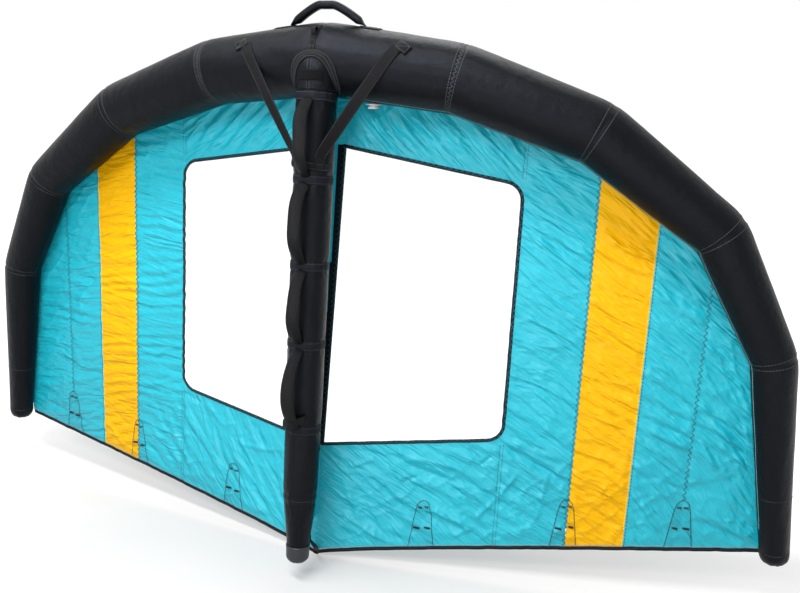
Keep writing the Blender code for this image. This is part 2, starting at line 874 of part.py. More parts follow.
def make_windows():
    """The clear film windows and the tape that borders each one."""
    film = sheet(*window_outline(seat_gap), 0.0, cloth_thickness)
    add_pair("window", *film, "film")
    offset = -(cloth_thickness + layer_gap)
    loops = []
    for inset, side in ((-1, -1), (-1, 1), (1, 1), (1, -1)):
        spans, lows, highs = window_outline(inset * window_tape_width / 2)
        rows = max(1, math.ceil((highs[0] - lows[0]) / cell_height))
        climb = [(spans[0], lows[0] + (highs[0] - lows[0]) * k / rows) for k in range(1, rows)]
        fall = [(spans[-1], highs[-1] + (lows[-1] - highs[-1]) * k / rows) for k in range(1, rows)]
        path = climb + list(zip(spans, highs)) + fall + list(zip(reversed(spans), reversed(lows)))
        depth = offset + side * cloth_thickness / 2
        loops.append([Vector((s, cloth_depth(s, h) + depth, h)) for s, h in path])
    rings = [list(ring) for ring in zip(*loops)]
    add_pair("window_tape", *skin(rings, closed_path=True), "trim")


def make_hem():
    """The tape folded over the trailing edge."""
    tip = canopy_tip.x - hem_end_gap
    half = columns_between(0.0, tip)
    spans = [-s for s in reversed(half[1:])] + half
    highs = [trailing_height(s) - seat_gap for s in spans]
    lows = [h - hem_height for h in highs]
    add_solid("trailing_hem", *sheet(spans, lows, highs, 0.0, hem_thickness), "trim")


def fin(first, last, thickness):
    """A flat piece in the centre plane, from the strut's back to the canopy."""
    kinks = [share * strut_length for share in strut_station_shares]
    places = [first] + [kink for kink in kinks if first < kink < last] + [last]
    grids = []
    for side in (-thickness / 2, thickness / 2):
        grid = []
        for along in places:
            near = strut_place(along, math.pi, band_height + seat_gap)
            far = cloth_depth(0.0, near.z) - cloth_thickness / 2 - seat_gap
            grid.append([Vector((side, near.y, near.z)), Vector((side, far, near.z))])
        grids.append(grid)
    return slab(*grids)


def make_web_and_tie():
    """The cloth web from strut to canopy, and the webbing tie at the tail."""
    web_end = strut_along(web_bottom_drop)
    add_solid("strut_web", *fin(strut_along(web_top_drop), web_end, cloth_thickness), "teal")
    tie_start = web_end + tie_clearance
    add_solid("tail_tie", *fin(tie_start, tie_start + tie_width, tie_thickness), "webbing", smooth=False)


def make_battens():
    """The battens at the trailing edge and the cloth pockets behind it that hold them."""
    back_face = cloth_thickness / 2 + layer_gap
    room = batten_thickness + layer_gap
    depth = room + pocket_wall
    half_base, half_top = pocket_base / 2, pocket_top / 2
    for number, share in enumerate(batten_span_shares):
        middle = share * half_span
        base = trailing_height(middle) + pocket_lift
        offsets = [-half_base, -half_top, -half_top * pocket_round_share, 0.0]
        offsets += [-o for o in reversed(offsets[:-1])]
        heights = [pocket_end_share, pocket_side_share, 1.0, 1.0, 1.0, pocket_side_share, pocket_end_share]
        spans = [middle + o for o in offsets]
        lows = [trailing_height(s) + pocket_lift for s in spans]
        highs = [base + pocket_height * h for h in heights]
        pocket = sheet(spans, lows, highs, back_face + depth / 2, depth)
        margin = (pocket_height - batten_length) / 2
        slim = [middle - batten_width / 2, middle + batten_width / 2]
        batten = sheet(slim, [base + margin] * 2, [base + margin + batten_length] * 2,
                       back_face + layer_gap / 2 + batten_thickness / 2, batten_thickness)
        wide = [slim[0] - layer_gap, slim[1] + layer_gap]
        low_end = [base + margin - layer_gap] * 2
        high_end = [base + margin + batten_length + layer_gap] * 2
        recess = sheet(wide, low_end, high_end, back_face + room / 2 - layer_gap / 2, room + layer_gap)
        name = ("inner", "middle", "outer")[number]
        for solid, cutter in zip(add_pair("batten_pocket_" + name, *pocket, "teal", smooth=False),
                                 (recess, mirrored(*recess))):
            cut(solid, solid.name + "_recess", *cutter)
        add_pair("batten_" + name, *batten, "batten", smooth=False)


# Valve and hose

def valve_seat():
    """The middle of the valve's flange, just below the tube."""
    low = edge_place(valve_span, 0, 0.0)
    slope = (edge_place(valve_span + valve_flange_radius, 0, 0.0) - low).z
    return low - up * (abs(slope) + seat_gap)


def make_valve():
    """The inflation valve and its cap on a strap, under the leading edge."""
    seat = valve_seat()
    rim = valve_flange_thickness + valve_rim_height
    profile = [(-valve_neck_inner, valve_neck_radius), (0.0, valve_neck_radius), (0.0, valve_flange_radius),
               (valve_flange_thickness, valve_flange_radius), (valve_flange_thickness, valve_neck_radius),
               (rim, valve_neck_radius), (rim, valve_bore_radius), (-valve_neck_inner, valve_bore_radius)]
    add_solid("valve_body", *turned(seat, -up, across, profile, sleeve_sides, True), "valve")
    hinge = valve_hinge()
    lid = [(rim + seat_gap, valve_cap_radius), (rim + seat_gap + valve_cap_thickness, valve_cap_radius)]
    disc = turned(seat, -up, across, lid, sleeve_sides, False)
    cap = add_solid("valve_cap", *disc, "valve", origin=hinge)
    arm_top = seat.z - rim - seat_gap - valve_arm_inset
    arm_low = seat.z - rim - seat_gap - valve_cap_thickness + valve_arm_inset
    start = seat.y + valve_cap_radius - valve_arm_overlap
    outline = [
        (start, arm_low),
        (hinge.y, arm_low),
        (hinge.y + valve_bead, hinge.z),
        (hinge.y, hinge.z + valve_bead),
        (hinge.y - valve_bead, hinge.z),
        (hinge.y - valve_bead, arm_top),
        (start, arm_top),
    ]
    half_width = valve_arm_width / 2
    sides = [[Vector((seat.x + side, y, z)) for y, z in outline] for side in (-half_width, half_width)]
    arm = add_solid("valve_cap_arm", *skin(sides), "valve", smooth=False)
    arm.hide_render = True
    arm.display_type = "WIRE"
    modifier = cap.modifiers.new("arm", "BOOLEAN")
    modifier.operation = "UNION"
    modifier.solver = "EXACT"
    modifier.object = arm


def valve_hinge():
    """The line that the valve's cap turns about, behind its rim."""
    seat = valve_seat()
    lift = valve_flange_thickness + seat_gap + valve_bead
    return Vector((seat.x, seat.y + valve_flange_radius - valve_bead, seat.z - lift))


def hose_ends():
    """Start on the tube with its direction, and end on the strut with its direction."""
    low = edge_place(hose_span, 0, 0.0)
    start = Vector((-low.x, low.y, low.z))
    normal = edge_normal(hose_span, 0)
    direction = Vector((-normal.x, normal.y, normal.z))
    finish_point = strut_place(strut_along(hose_strut_drop), -hose_strut_angle, 0.0)
    outward = strut_front * math.cos(hose_strut_angle) - across * math.sin(hose_strut_angle)
    return start, direction, finish_point, -outward


def make_hose():
    """The air hose between the two bladders, beside the strut's head."""
    start, leave, end, arrive = hose_ends()
    near = start + leave * hose_straight
    far = end - arrive * hose_straight
    ends = (near, near + leave * hose_bend, far - arrive * hose_bend, far)
    centres = [start - leave * hose_reach]
    for k in range(hose_steps + 1):
        t = k / hose_steps
        weights = ((1 - t) ** 3, 3 * t * (1 - t) ** 2, 3 * t * t * (1 - t), t ** 3)
        centres.append(sum((w * p for w, p in zip(weights, ends)), Vector()))
    centres.append(end + arrive * hose_reach)
    rings = []
    for radius in (hose_radius, hose_radius - hose_wall):
        layer = []
        for k, centre in enumerate(centres):
            tangent = (centres[min(k + 1, len(centres) - 1)] - centres[max(k - 1, 0)]).normalized()
            tangent = leave if k < 2 else arrive if k > hose_steps else tangent
            first = (across - across.dot(tangent) * tangent).normalized()
            layer.append(circle(centre, first, tangent.cross(first), radius, hose_sides))
        rings.append(layer)
    points, faces = skin(rings[0] + list(reversed(rings[1])), closed_path=True)
    add_solid("air_hose", points, faces, "trim")


def main():
    clear_scene()
    panels = make_edge_panels()
    make_tip_caps()
    make_edge_bladder(panels)
    make_strut()
    make_dome()
    make_closure_patch()
    make_tail_cap()
    make_grips()
    make_carry_handle()
    make_carry_tabs()
    make_braces()
    make_canopy()
    make_windows()
    make_hem()
    make_web_and_tie()
    make_battens()
    make_valve()
    make_hose()


main()
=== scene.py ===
import math
import bpy
import numpy as np
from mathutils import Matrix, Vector


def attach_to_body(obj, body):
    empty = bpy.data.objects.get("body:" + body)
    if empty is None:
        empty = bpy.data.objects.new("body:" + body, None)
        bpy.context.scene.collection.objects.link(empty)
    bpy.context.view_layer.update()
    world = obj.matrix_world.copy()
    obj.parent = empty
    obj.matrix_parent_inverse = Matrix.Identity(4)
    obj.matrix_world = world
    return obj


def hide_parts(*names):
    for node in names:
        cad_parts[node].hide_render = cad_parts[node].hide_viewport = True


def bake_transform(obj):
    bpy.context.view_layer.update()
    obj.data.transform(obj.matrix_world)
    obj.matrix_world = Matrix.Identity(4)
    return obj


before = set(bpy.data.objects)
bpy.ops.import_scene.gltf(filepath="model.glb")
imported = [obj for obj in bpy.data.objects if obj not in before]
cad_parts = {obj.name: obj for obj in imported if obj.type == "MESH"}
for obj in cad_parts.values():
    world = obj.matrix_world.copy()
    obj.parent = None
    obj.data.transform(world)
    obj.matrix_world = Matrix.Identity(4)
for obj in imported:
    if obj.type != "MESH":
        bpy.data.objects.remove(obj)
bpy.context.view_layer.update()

# Sizes shared with the solids, in metres. X runs along the span, -Y towards the rider, +Z up.
HALF_SPAN = 1.5
CHORD = 1.69
TIP_RISE = 0.15
EDGE_Z = -0.146
KINK_SPANS = (0.0, 0.276, 0.557, 0.808, 0.939, 1.0)
KINK_DROPS = (0.0, 0.0287, 0.1131, 0.2763, 0.4947, 0.876)
EDGE_RADII = (0.11, 0.106, 0.096, 0.081, 0.068, 0.045)
ATTACH_ANGLE = math.radians(60)
TIP_DROP = 1.495
CENTRE_OFFSET = 0.08
STRIP_HALF = 0.028
WINDOW_SEAM = 0.618
STRIPE_IN = 0.852
STRIPE_OUT = 1.038
OUTER_SEAM = 1.211
WIN_TOP = (0.27, 0.365)
WIN_LOW = (1.29, 1.209)
WIN_CORNER = 0.05
STRUT_TOP = np.array((0.0, -0.075, -0.241))
STRUT_END = np.array((0.0, -0.224, -1.761))
STRUT_RADII = (0.0635, 0.062, 0.06, 0.0565, 0.038, 0.037)
STRUT_SHARES = (0.0, 0.3, 0.62, 0.855, 0.97, 1.0)
BANDS = (0.012, 0.176, 0.352, 0.518, 0.7025)
BATTENS = (0.37005, 0.84495, 1.21095)
FLOOR_Z = -1.85

# Sizes that the scene alone has
TAIL_SEAM, KEEPER_PLACE, GATHER_PLACE = 0.862, 0.679, 0.1475  # shares of the strut
STRIP_TURN = -0.8  # where the centre strip turns from teal to black
PIPING = {"right": math.radians(337), "left": math.radians(48)}  # round the tube
HEM_HALF = 1.467
POCKET = 0.168
DOME_LENGTH = 0.125
COVER = 0.0018  # how far the dome and the tail's cap stand off the strut's sleeve
BAND_HALF = 0.014
GRIP_RISE = 0.0585  # how far a strut handle arches off the strut
FOLD_GAIN = 2.6  # on the canopy's small folds; its long creases have their own
CREASE_GAIN = 1.5
CENTRE_U = 1e-6  # just beside the centre seam
SEAM_X = 0.006  # the centre webbing lies left of the middle
EDGE_MAP, STRUT_MAP = 0.09, 0.06  # radii of the flat maps

X, Y, Z = np.eye(3)
SIDES = (("right", 1), ("left", -1))
FINE = 0.006
SLEEVE_STEP = 0.006
AROUND = np.linspace(0, 2 * np.pi, 96, endpoint=False)


# Small maths

def unit(v):
    v = np.asarray(v, float)
    return v / np.maximum(np.linalg.norm(v, axis=-1, keepdims=True), 1e-12)


def square_to(v, axis):
    """The part of a direction that is square to an axis, as a unit vector."""
    return unit(v - (v * axis).sum(-1, keepdims=True) * axis)


def smooth(t):
    t = np.clip(t, 0.0, 1.0)
    return t * t * (3 - 2 * t)


def rise(x, a, b):
    return smooth((x - a) / (b - a))


def bell(x, width):
    return np.exp(-(np.asarray(x) / width) ** 2)


def run_along(points):
    """The length of a line up to each of its points."""
    return np.r_[0, np.cumsum(np.linalg.norm(np.diff(points, axis=0), axis=1))]


def interp_line(at, marks, points):
    return np.stack([np.interp(at, marks, column) for column in np.asarray(points, float).T], -1)


def flat_map(a, b):
    return np.stack(np.broadcast_arrays(a, b), -1)


def turned(angle, ahead, side):
    """Directions turned from one axis towards another."""
    angle = np.asarray(angle, float)[..., None]
    return np.cos(angle) * ahead + np.sin(angle) * side


def swept(profile, row):
    """A grid and its flat map, from the row that each pair of a profile gives."""
    return [np.array(part) for part in zip(*(row(*pair) for pair in profile))]


def lattice(ix, iy, seed):
    h = (ix * 374761393 + iy * 668265263 + seed * 974634777) & 0xFFFFFFFF
    h = ((h ^ (h >> 13)) * 1274126177) & 0xFFFFFFFF
    return ((h ^ (h >> 16)) & 0xFFFF) / 32767.5 - 1.0


def noise(x, y, seed):
    """Smooth value noise from -1 to 1."""
    x, y = np.broadcast_arrays(np.asarray(x, float), np.asarray(y, float))
    ix, iy = np.floor(x).astype(np.int64), np.floor(y).astype(np.int64)
    fx, fy = x - ix, y - iy
    u = fx * fx * fx * (fx * (fx * 6 - 15) + 10)
    v = fy * fy * fy * (fy * (fy * 6 - 15) + 10)
    low = lattice(ix, iy, seed) * (1 - u) + lattice(ix + 1, iy, seed) * u
    high = lattice(ix, iy + 1, seed) * (1 - u) + lattice(ix + 1, iy + 1, seed) * u
    return low * (1 - v) + high * v


def turned_plane(x, y, angle):
    c, s = math.cos(angle), math.sin(angle)
    return x * c + y * s, -x * s + y * c


def ridges(x, y, angle, long, short, seed, sharp):
    """Folds that run along an angle, from 0 to 1, longer than they are wide."""
    along, over = turned_plane(x, y, angle)
    over = over + 0.35 * short * noise(along / (0.6 * long), over / long, seed + 7)
    return (1 - np.abs(noise(along / long, over / short, seed))) ** sharp


def pleats(x, y, angle, wave, seed, cover=0.1):
    """Soft rounded folds along an angle, from -1 to 1, which come and go in patches."""
    along, over = turned_plane(x, y, angle)
    phase = over / wave + 1.1 * noise(along * 2.1, over * 2.1, seed)
    phase = phase + 0.35 * noise(along * 6, over / wave * 0.5, seed + 1)
    patch = np.clip(0.62 + 0.9 * noise(along * 3.2, over / wave * 0.45, seed + 2) + cover, 0, 1)
    fold = np.sin(2 * np.pi * phase)
    return np.sign(fold) * np.abs(fold) ** 0.8 * patch


# Materials

class Graph:
    """The shader nodes of a material or a world, with short ways to add and join them."""

    def __init__(self, owner):
        owner.use_nodes = True
        self.nodes, self.links = owner.node_tree.nodes, owner.node_tree.links

    def put(self, node, values):
        """Sets a node's sockets from values or from other nodes' outputs."""
        for key, value in values.items():
            socket = node.inputs[key]
            if isinstance(value, bpy.types.NodeSocket):
                self.links.new(value, socket)
            else:
                socket.default_value = (*value, 1.0) if socket.type == "RGBA" else value

    def add(self, kind, values=None, output=0, **settings):
        node = self.nodes.new("ShaderNode" + kind)
        for key, value in settings.items():
            setattr(node, key, value)
        self.put(node, values or {})
        return node.outputs[output]

    def calc(self, operation, *values):
        return self.add("Math", dict(enumerate(values)), operation=operation)

    def line(self, x, slope, offset):
        return self.calc("MULTIPLY_ADD", x, slope, offset)

    def mix(self, factor, a, b):
        return self.add("Mix", {0: factor, 6: a, 7: b}, 2, data_type="RGBA")

    def noise(self, vector, scale, detail, rough=0.5, distortion=0.0):
        return self.add("TexNoise", {"Vector": vector, "Scale": scale, "Detail": detail, "Roughness": rough,
                                     "Distortion": distortion})

    def bump(self, height, distance, strength=1.0, normal=None):
        below = {} if normal is None else {"Normal": normal}
        return self.add("Bump", {"Height": height, "Distance": distance, "Strength": strength, **below})

    def metres(self):
        """The piece's own flat coordinates, in metres, and their two parts."""
        uv = self.add("UVMap", uv_map="metres")
        parts = self.add("SeparateXYZ", {0: uv}).node.outputs
        return uv, parts[0], parts[1]

    def threads(self, place, pitch):
        """A rounded thread profile from 0 to 1, one thread per pitch."""
        return self.calc("ABSOLUTE", self.calc("SINE", self.calc("MULTIPLY", place, math.pi / pitch)))

    def sight(self):
        """1 for the rays that see the background, 0 for those that light the object."""
        path = self.add("LightPath").node.outputs
        seen = self.calc("MAXIMUM", path["Is Camera Ray"], path["Is Transmission Ray"])
        return self.calc("MAXIMUM", seen, path["Is Glossy Ray"])


mats = {}


def new_material(name):
    mats[name] = bpy.data.materials.new(name)
    g = Graph(mats[name])
    return g, g.nodes["Principled BSDF"]


def shade(colour, k):
    return tuple(min(1.0, c * k) for c in colour)


def cloth(name, colour, dark, rough, pitch, weave, crumple, crumple_scale, specular, ripstop=0.0, through=0.0,
          wear=None, folds=(), tint=(1.0, 1.0, 1.0)):
    """A woven cloth: threads, an optional ripstop grid, small crumples and folds, uneven dye and wear."""
    g, shader = new_material(name)
    uv, u, v = g.metres()
    broad, fine = g.noise(uv, 3.2, 3.0, 0.6), g.noise(uv, 60.0, 3.0, 0.6)
    dye = g.calc("ADD", g.calc("MULTIPLY", broad, 0.65), g.calc("MULTIPLY", fine, 0.35))
    spread = g.calc("MAXIMUM", g.calc("SMOOTH_MIN", g.line(dye, 2.4, -0.7), 1.0, 0.1), 0.0)
    base = g.mix(spread, dark, colour)
    height = g.calc("MULTIPLY", g.calc("ADD", g.threads(u, pitch), g.threads(v, pitch)), 0.5)
    if ripstop:
        lines = [g.calc("LESS_THAN", g.calc("FRACT", g.calc("DIVIDE", place, ripstop)), 0.16) for place in (u, v)]
        lines = g.calc("MAXIMUM", *lines)
        base = g.mix(g.calc("MULTIPLY", lines, 0.16), base, shade(dark, 0.72))
        height = g.calc("ADD", height, g.calc("MULTIPLY", lines, 0.8))
    if wear:
        worn = g.calc("MAXIMUM", g.line(g.noise(uv, 9.0, 5.0, 0.65), 4.0, -2.35), 0.0)
        base = g.mix(g.calc("MINIMUM", g.calc("MULTIPLY", worn, 0.6), 0.6), base, wear)
    normal = g.bump(height, weave, 0.55)
    normal = g.bump(g.noise(uv, crumple_scale, 4.0, 0.55), crumple, normal=normal)
    for long, short, depth, offset in folds:
        place = g.add("Mapping", {"Scale": (1 / long, 1 / short, 1.0), "Location": (offset, offset * 2, 0.0),
                                  "Vector": g.add("UVMap", uv_map="folds")})
        fold = g.calc("ABSOLUTE", g.line(g.noise(place, 1.0, 2.0, distortion=0.5), 4.0, -2.0))
        normal = g.bump(g.calc("SUBTRACT", 1.0, g.calc("MINIMUM", fold, 1.0)), depth, normal=normal)
    g.put(shader, {"Base Color": base, "Roughness": g.line(dye, 0.24, rough - 0.12), "Normal": normal,
                   "Specular IOR Level": specular, "Specular Tint": tint})
    if through:
        glow = g.add("BsdfTranslucent", {0: base, "Normal": normal})
        both = g.add("MixShader", {0: through, 1: shader.outputs[0], 2: glow})
        g.put(g.nodes["Material Output"], {0: both})


def ribbed(name, colour, rough, rib):
    """Flat webbing: ribs across the strap over a coarse diagonal weave."""
    g, shader = new_material(name)
    uv, u, v = g.metres()
    slant = g.threads(g.calc("ADD", u, v), rib * 0.8)
    height = g.calc("ADD", g.threads(u, rib), g.calc("MULTIPLY", slant, 0.5))
    soft = g.noise(uv, 45.0, 4.0, 0.6)
    g.put(shader, {"Base Color": g.mix(soft, shade(colour, 0.55), shade(colour, 1.5)),
                   "Roughness": g.line(soft, 0.25, rough - 0.12), "Specular IOR Level": 0.11,
                   "Normal": g.bump(height, 0.0006, 0.8)})


def moulded(name, colour, rough):
    """Moulded rubber or plastic, or a thread, with a fine grain and handling marks."""
    g, shader = new_material(name)
    uv = g.metres()[0]
    soft = g.noise(uv, 35.0, 5.0, 0.6)
    g.put(shader, {"Base Color": g.mix(soft, shade(colour, 0.75), shade(colour, 1.2)),
                   "Roughness": g.line(soft, 0.3, rough - 0.15),
                   "Normal": g.bump(g.noise(uv, 1400.0, 1.0), 0.00012)})


def film(name):
    """Clear window film: mostly see-through, with soft gloss and faint handling haze."""
    g, shader = new_material(name)
    uv = g.metres()[0]
    g.put(shader, {"Base Color": (0.93, 0.95, 0.96), "Alpha": 0.16,
                   "Roughness": g.line(g.noise(uv, 5.0, 4.0, 0.6), 0.12, 0.06),
                   "Normal": g.bump(g.noise(uv, 7.0, 3.0), 0.002)})


RIPSTOP = dict(ripstop=0.006, through=0.12, folds=((0.3, 0.056, 0.006, 0.0), (0.08, 0.017, 0.002, 3.7)))
# Colour, its dark part, roughness, thread pitch, depth of weave and of crumples, the crumples' scale, specular
cloth("sleeve_cloth", (0.0026, 0.0026, 0.0034), (0.0022, 0.0022, 0.0029), 0.34, 0.0012, 0.0004, 0.0036, 20.0, 0.125,
      wear=(0.011, 0.011, 0.015), tint=(0.76, 0.84, 1.0))
cloth("teal_cloth", (0.016, 0.5, 0.62), (0.01, 0.42, 0.54), 0.37, 0.0009, 0.00012, 0.0028, 26.0, 0.5, **RIPSTOP)
cloth("yellow_cloth", (0.9, 0.49, 0.001), (0.9, 0.45, 0.001), 0.4, 0.0009, 0.00012, 0.0024, 26.0, 0.22, **RIPSTOP)
cloth("dark_trim", (0.0075, 0.0085, 0.0125), (0.005, 0.006, 0.009), 0.58, 0.0011, 0.0003, 0.0008, 50.0, 0.1)
ribbed("webbing", (0.0048, 0.0048, 0.0056), 0.42, 0.0016)
ribbed("hook_tape", (0.004, 0.004, 0.005), 0.9, 0.0022)
film("window_film")
for look in (("moulded_black", (0.012, 0.012, 0.014), 0.45), ("valve_plastic", (0.62, 0.64, 0.66), 0.4),
             ("batten", (0.7, 0.71, 0.7), 0.3), ("bladder_film", (0.66, 0.67, 0.64), 0.25),
             ("thread_black", (0.005, 0.005, 0.006), 0.7), ("thread_grey", (0.048, 0.052, 0.062), 0.6),
             ("thread_teal", (0.004, 0.085, 0.115), 0.6), ("thread_pale", (0.24, 0.36, 0.36), 0.6),
             ("thread_yellow", (0.88, 0.66, 0.1), 0.6)):
    moulded(*look)


# Mesh building

def add_map(mesh, name, values):
    """A UV map from a mesh's values at its vertices."""
    corner = np.zeros(len(mesh.loops), np.int32)
    mesh.loops.foreach_get("vertex_index", corner)
    mesh.uv_layers.new(name=name).data.foreach_set("uv", np.asarray(values, np.float32)[corner].ravel())


def add_object(name, data):
    thing = bpy.data.objects.new(name, data)
    bpy.context.scene.collection.objects.link(thing)
    return thing


def make_piece(name, points, faces, uvs, material, slot=None, body="wing", replaces=None, blend=None, folds=None,
               fill=None):
    """A mesh piece with flat coordinates in metres, which rides on a body; folds is their angle on it."""
    mesh = bpy.data.meshes.new(name)
    mesh.from_pydata(points.tolist(), [], faces)
    mesh.validate()
    add_map(mesh, "metres", uvs)
    if folds is not None:
        a, b = uvs.T
        bent = a + 0.03 * noise(a * 3.1, b * 3.1, 301), b + 0.03 * noise(a * 3.7, b * 3.7, 302)
        c, s = math.cos(folds), math.sin(folds)
        add_map(mesh, "folds", np.stack(bent, -1) @ np.array(((c, -s), (s, c))))
    mesh.shade_smooth()
    mesh.materials.append(mats[material])
    piece = add_object(name, mesh)
    if blend:
        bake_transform(piece)
    else:
        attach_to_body(piece, body)
    if replaces:
        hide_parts(replaces)
    return piece


def grid_piece(name, grid, uv, material, flip=False, ring=False, caps=False, **more):
    """A piece from a grid of points, whose columns may close into a ring; caps close its two ends."""
    rows, cols = grid.shape[:2]
    points, uvs = grid.reshape(-1, 3), uv.reshape(-1, 2)
    r, c = np.meshgrid(np.arange(rows - 1) * cols, np.arange(cols if ring else cols - 1), indexing="ij")
    after = (c + 1) % cols
    faces = np.stack([r + c, r + after, r + cols + after, r + cols + c], -1).reshape(-1, 4)
    faces = (faces[:, ::-1] if flip else faces).tolist()
    if caps:
        points = np.vstack([points, grid[0].mean(0), grid[-1].mean(0)])
        uvs = np.vstack([uvs, uv[0].mean(0), uv[-1].mean(0)])
        for k, first in enumerate((0, (rows - 1) * cols)):
            hub = rows * cols + k
            for c in range(cols):
                a, b = first + c, first + (c + 1) % cols
                faces.append([hub, b, a] if (k == 0) != flip else [hub, a, b])
    return make_piece(name, points, faces, uvs, material, **more)


def strap(name, centres, outs, widths, thicknesses, material, sides=12, cup=0.0, power=4.0, **more):
    """A padded or flat strap: a rounded flat section swept along centres."""
    widths, thicknesses = (np.broadcast_to(size, len(centres)) for size in (widths, thicknesses))
    tangents = unit(np.gradient(centres, axis=0))
    outs = square_to(outs, tangents)
    ways = np.cross(tangents, outs)
    turns = np.linspace(0, 2 * np.pi, sides, endpoint=False)
    over, high = (np.sign(x) * np.abs(x) ** (2 / power) for x in (np.cos(turns), np.sin(turns)))
    w = widths[:, None] / 2 * over
    t = thicknesses[:, None] / 2 * high - cup * over ** 2
    grid = centres[:, None] + ways[:, None] * w[..., None] + outs[:, None] * t[..., None]
    uv = flat_map(run_along(centres)[:, None], np.arange(sides) * np.mean(widths) * 2.2 / sides)
    return grid_piece(name, grid, uv, material, ring=True, caps=True, **more)


def spread_along(points, normals, step):
    """Evenly spaced places along a line, with their normals."""
    far = run_along(points)
    at = np.linspace(0, far[-1], max(2, int(far[-1] / step) + 1))
    return interp_line(at, far, points), unit(interp_line(at, far, np.broadcast_to(normals, points.shape)))


class Sewing:
    """Threads of one colour, gathered into one mesh of small raised stitches."""

    def __init__(self, name, material, slot):
        self.name, self.material, self.slot = name, material, slot
        self.stitches = []

    def add(self, starts, ends, ups, width, height):
        self.stitches.append((starts, ends, ups, np.tile([width, height], (len(starts), 1))))

    def row(self, points, normals, pitch, width, height, share=0.62):
        place, normal = spread_along(points, normals, pitch)
        start = place[:-1]
        self.add(start, start + (place[1:] - start) * share, normal[:-1], width, height)

    def zigzag(self, points, normals, pitch, swing, width, height):
        place, normal = spread_along(points, normals, pitch)
        side = np.cross(normal, unit(np.gradient(place, axis=0))) * swing
        place = place + side * np.where(np.arange(len(place)) % 2 == 0, 1.0, -1.0)[:, None]
        self.add(place[:-1], place[1:], normal[:-1], width, height)

    def tack(self, centre, way, up, length, thick, spread):
        """A bar tack: a dense block of short stitches across its length."""
        over = np.cross(up, way) * spread / 2
        count = max(4, int(length / 0.0022))
        along = centre + np.linspace(-length / 2, length / 2, count)[:, None] * way
        self.add(along - over, along + over, np.tile(up, (count, 1)), 0.0024, thick)

    def build(self):
        a, b, up, size = (np.concatenate(part) for part in zip(*self.stitches))
        way = unit(b - a)
        side = unit(np.cross(way, up)) * size[:, :1] / 2
        top, tuck, base = up * size[:, 1:], way * size[:, :1] * 0.35, up * 0.0002
        points = np.stack([a - side - base, a + side - base, b + side - base, b - side - base,
                           a + tuck + top, b - tuck + top], 1).reshape(-1, 3)
        pattern = ((0, 1, 4), (1, 2, 5, 4), (2, 3, 5), (3, 0, 4, 5))
        faces = [[6 * k + i for i in face] for k in range(len(a)) for face in pattern]
        make_piece(self.name, points, faces, points[:, [0, 2]], self.material, slot=self.slot)


black = Sewing("stitching_black", "thread_black", "dark_trim")
grey = Sewing("stitching_sleeve", "thread_grey", "sleeve_cloth")
teal = Sewing("stitching_teal", "thread_teal", "teal_cloth")
pale = Sewing("stitching_pale", "thread_pale", "teal_cloth")
yellow = Sewing("stitching_yellow", "thread_yellow", "yellow_cloth")
# Rows of grey stitches, as pitch, width and height
BAND_ROW = (0.006, 0.001, 0.0006)
BORDER_ROW = (0.006, 0.0016, 0.0009)
WEBBING_ROW = (0.005, 0.0012, 0.0006)


# The leading edge's line: u is the length along it from the centre, below zero on the left half

kinks = np.stack([HALF_SPAN * np.array(KINK_SPANS), TIP_RISE * np.array(KINK_SPANS),
                  EDGE_Z - CHORD * np.array(KINK_DROPS)], -1)
kink_u = run_along(kinks)
EDGE_LENGTH = kink_u[-1]
SOFT = 0.034


def raw_line(u):
    """The kinked centreline; below zero it is mirrored."""
    p = interp_line(np.abs(u), kink_u, kinks)
    p[..., 0] *= np.where(u < 0, -1.0, 1.0)
    return p


def edge_line(u):
    """The centreline with its kinks softened."""
    u = np.asarray(u, float)
    soft = np.minimum(SOFT, np.maximum(EDGE_LENGTH - np.abs(u), 0.0))
    return np.mean([raw_line(u + soft * k) for k in np.linspace(-1, 1, 9)], axis=0)


def edge_frame(u):
    """Tangent, inward and back directions; inward points to the canopy."""
    along = unit(edge_line(u + 0.003) - edge_line(u - 0.003))
    behind = unit(Y - along[..., 1:2] * along)
    return along, np.cross(behind, along), behind


def edge_relief(u, phi):
    """How far the sleeve stands off its round form: seams pinch, and the kinks pucker inside."""
    out = 0.0006 * noise(u * 9, phi * 2.2, 11) + 0.0003 * noise(u * 30, phi * 6, 12)
    wrapped = (phi + np.pi) % (2 * np.pi) - np.pi
    for k in range(5):
        away = np.abs(u) - kink_u[k]
        turn = 0.2
        if k:
            before, after = kinks[k] - kinks[k - 1], kinks[k + 1] - kinks[k]
            turn = math.acos(float(np.clip(unit(before) @ unit(after), -1, 1)))
        depth = 0.0095 * turn * bell(wrapped, 1.05) * np.exp(-np.abs(away) / 0.035)
        pleat = 0.5 + 0.5 * np.cos(wrapped * 15 + 2.2 * noise(away * 25, wrapped * 1.5, 40 + k))
        out = out - 0.0014 * bell(away, 0.007) - depth * pleat
    return out


def edge_radius(u):
    a = np.abs(u)
    soft = np.mean([np.interp(a + 0.03 * k, kink_u, EDGE_RADII) for k in (-1, -0.5, 0, 0.5, 1)], axis=0)
    k = np.clip(np.searchsorted(kink_u, a, side="right") - 1, 0, 4)
    share = (a - kink_u[k]) / (kink_u[k + 1] - kink_u[k])
    return soft * (1 + 0.006 * np.sin(np.pi * np.clip(share, 0, 1)))


def edge_point(u, phi, lift=0.0):
    """A place on the sleeve; phi turns from inward (0) over the back (90), outside (180) to the front (270)."""
    u, phi = np.broadcast_arrays(np.asarray(u, float), np.asarray(phi, float))
    _, inward, behind = edge_frame(u)
    out = turned(phi, inward, behind)
    return edge_line(u) + out * (edge_radius(u) + edge_relief(u, phi) + lift)[..., None], out


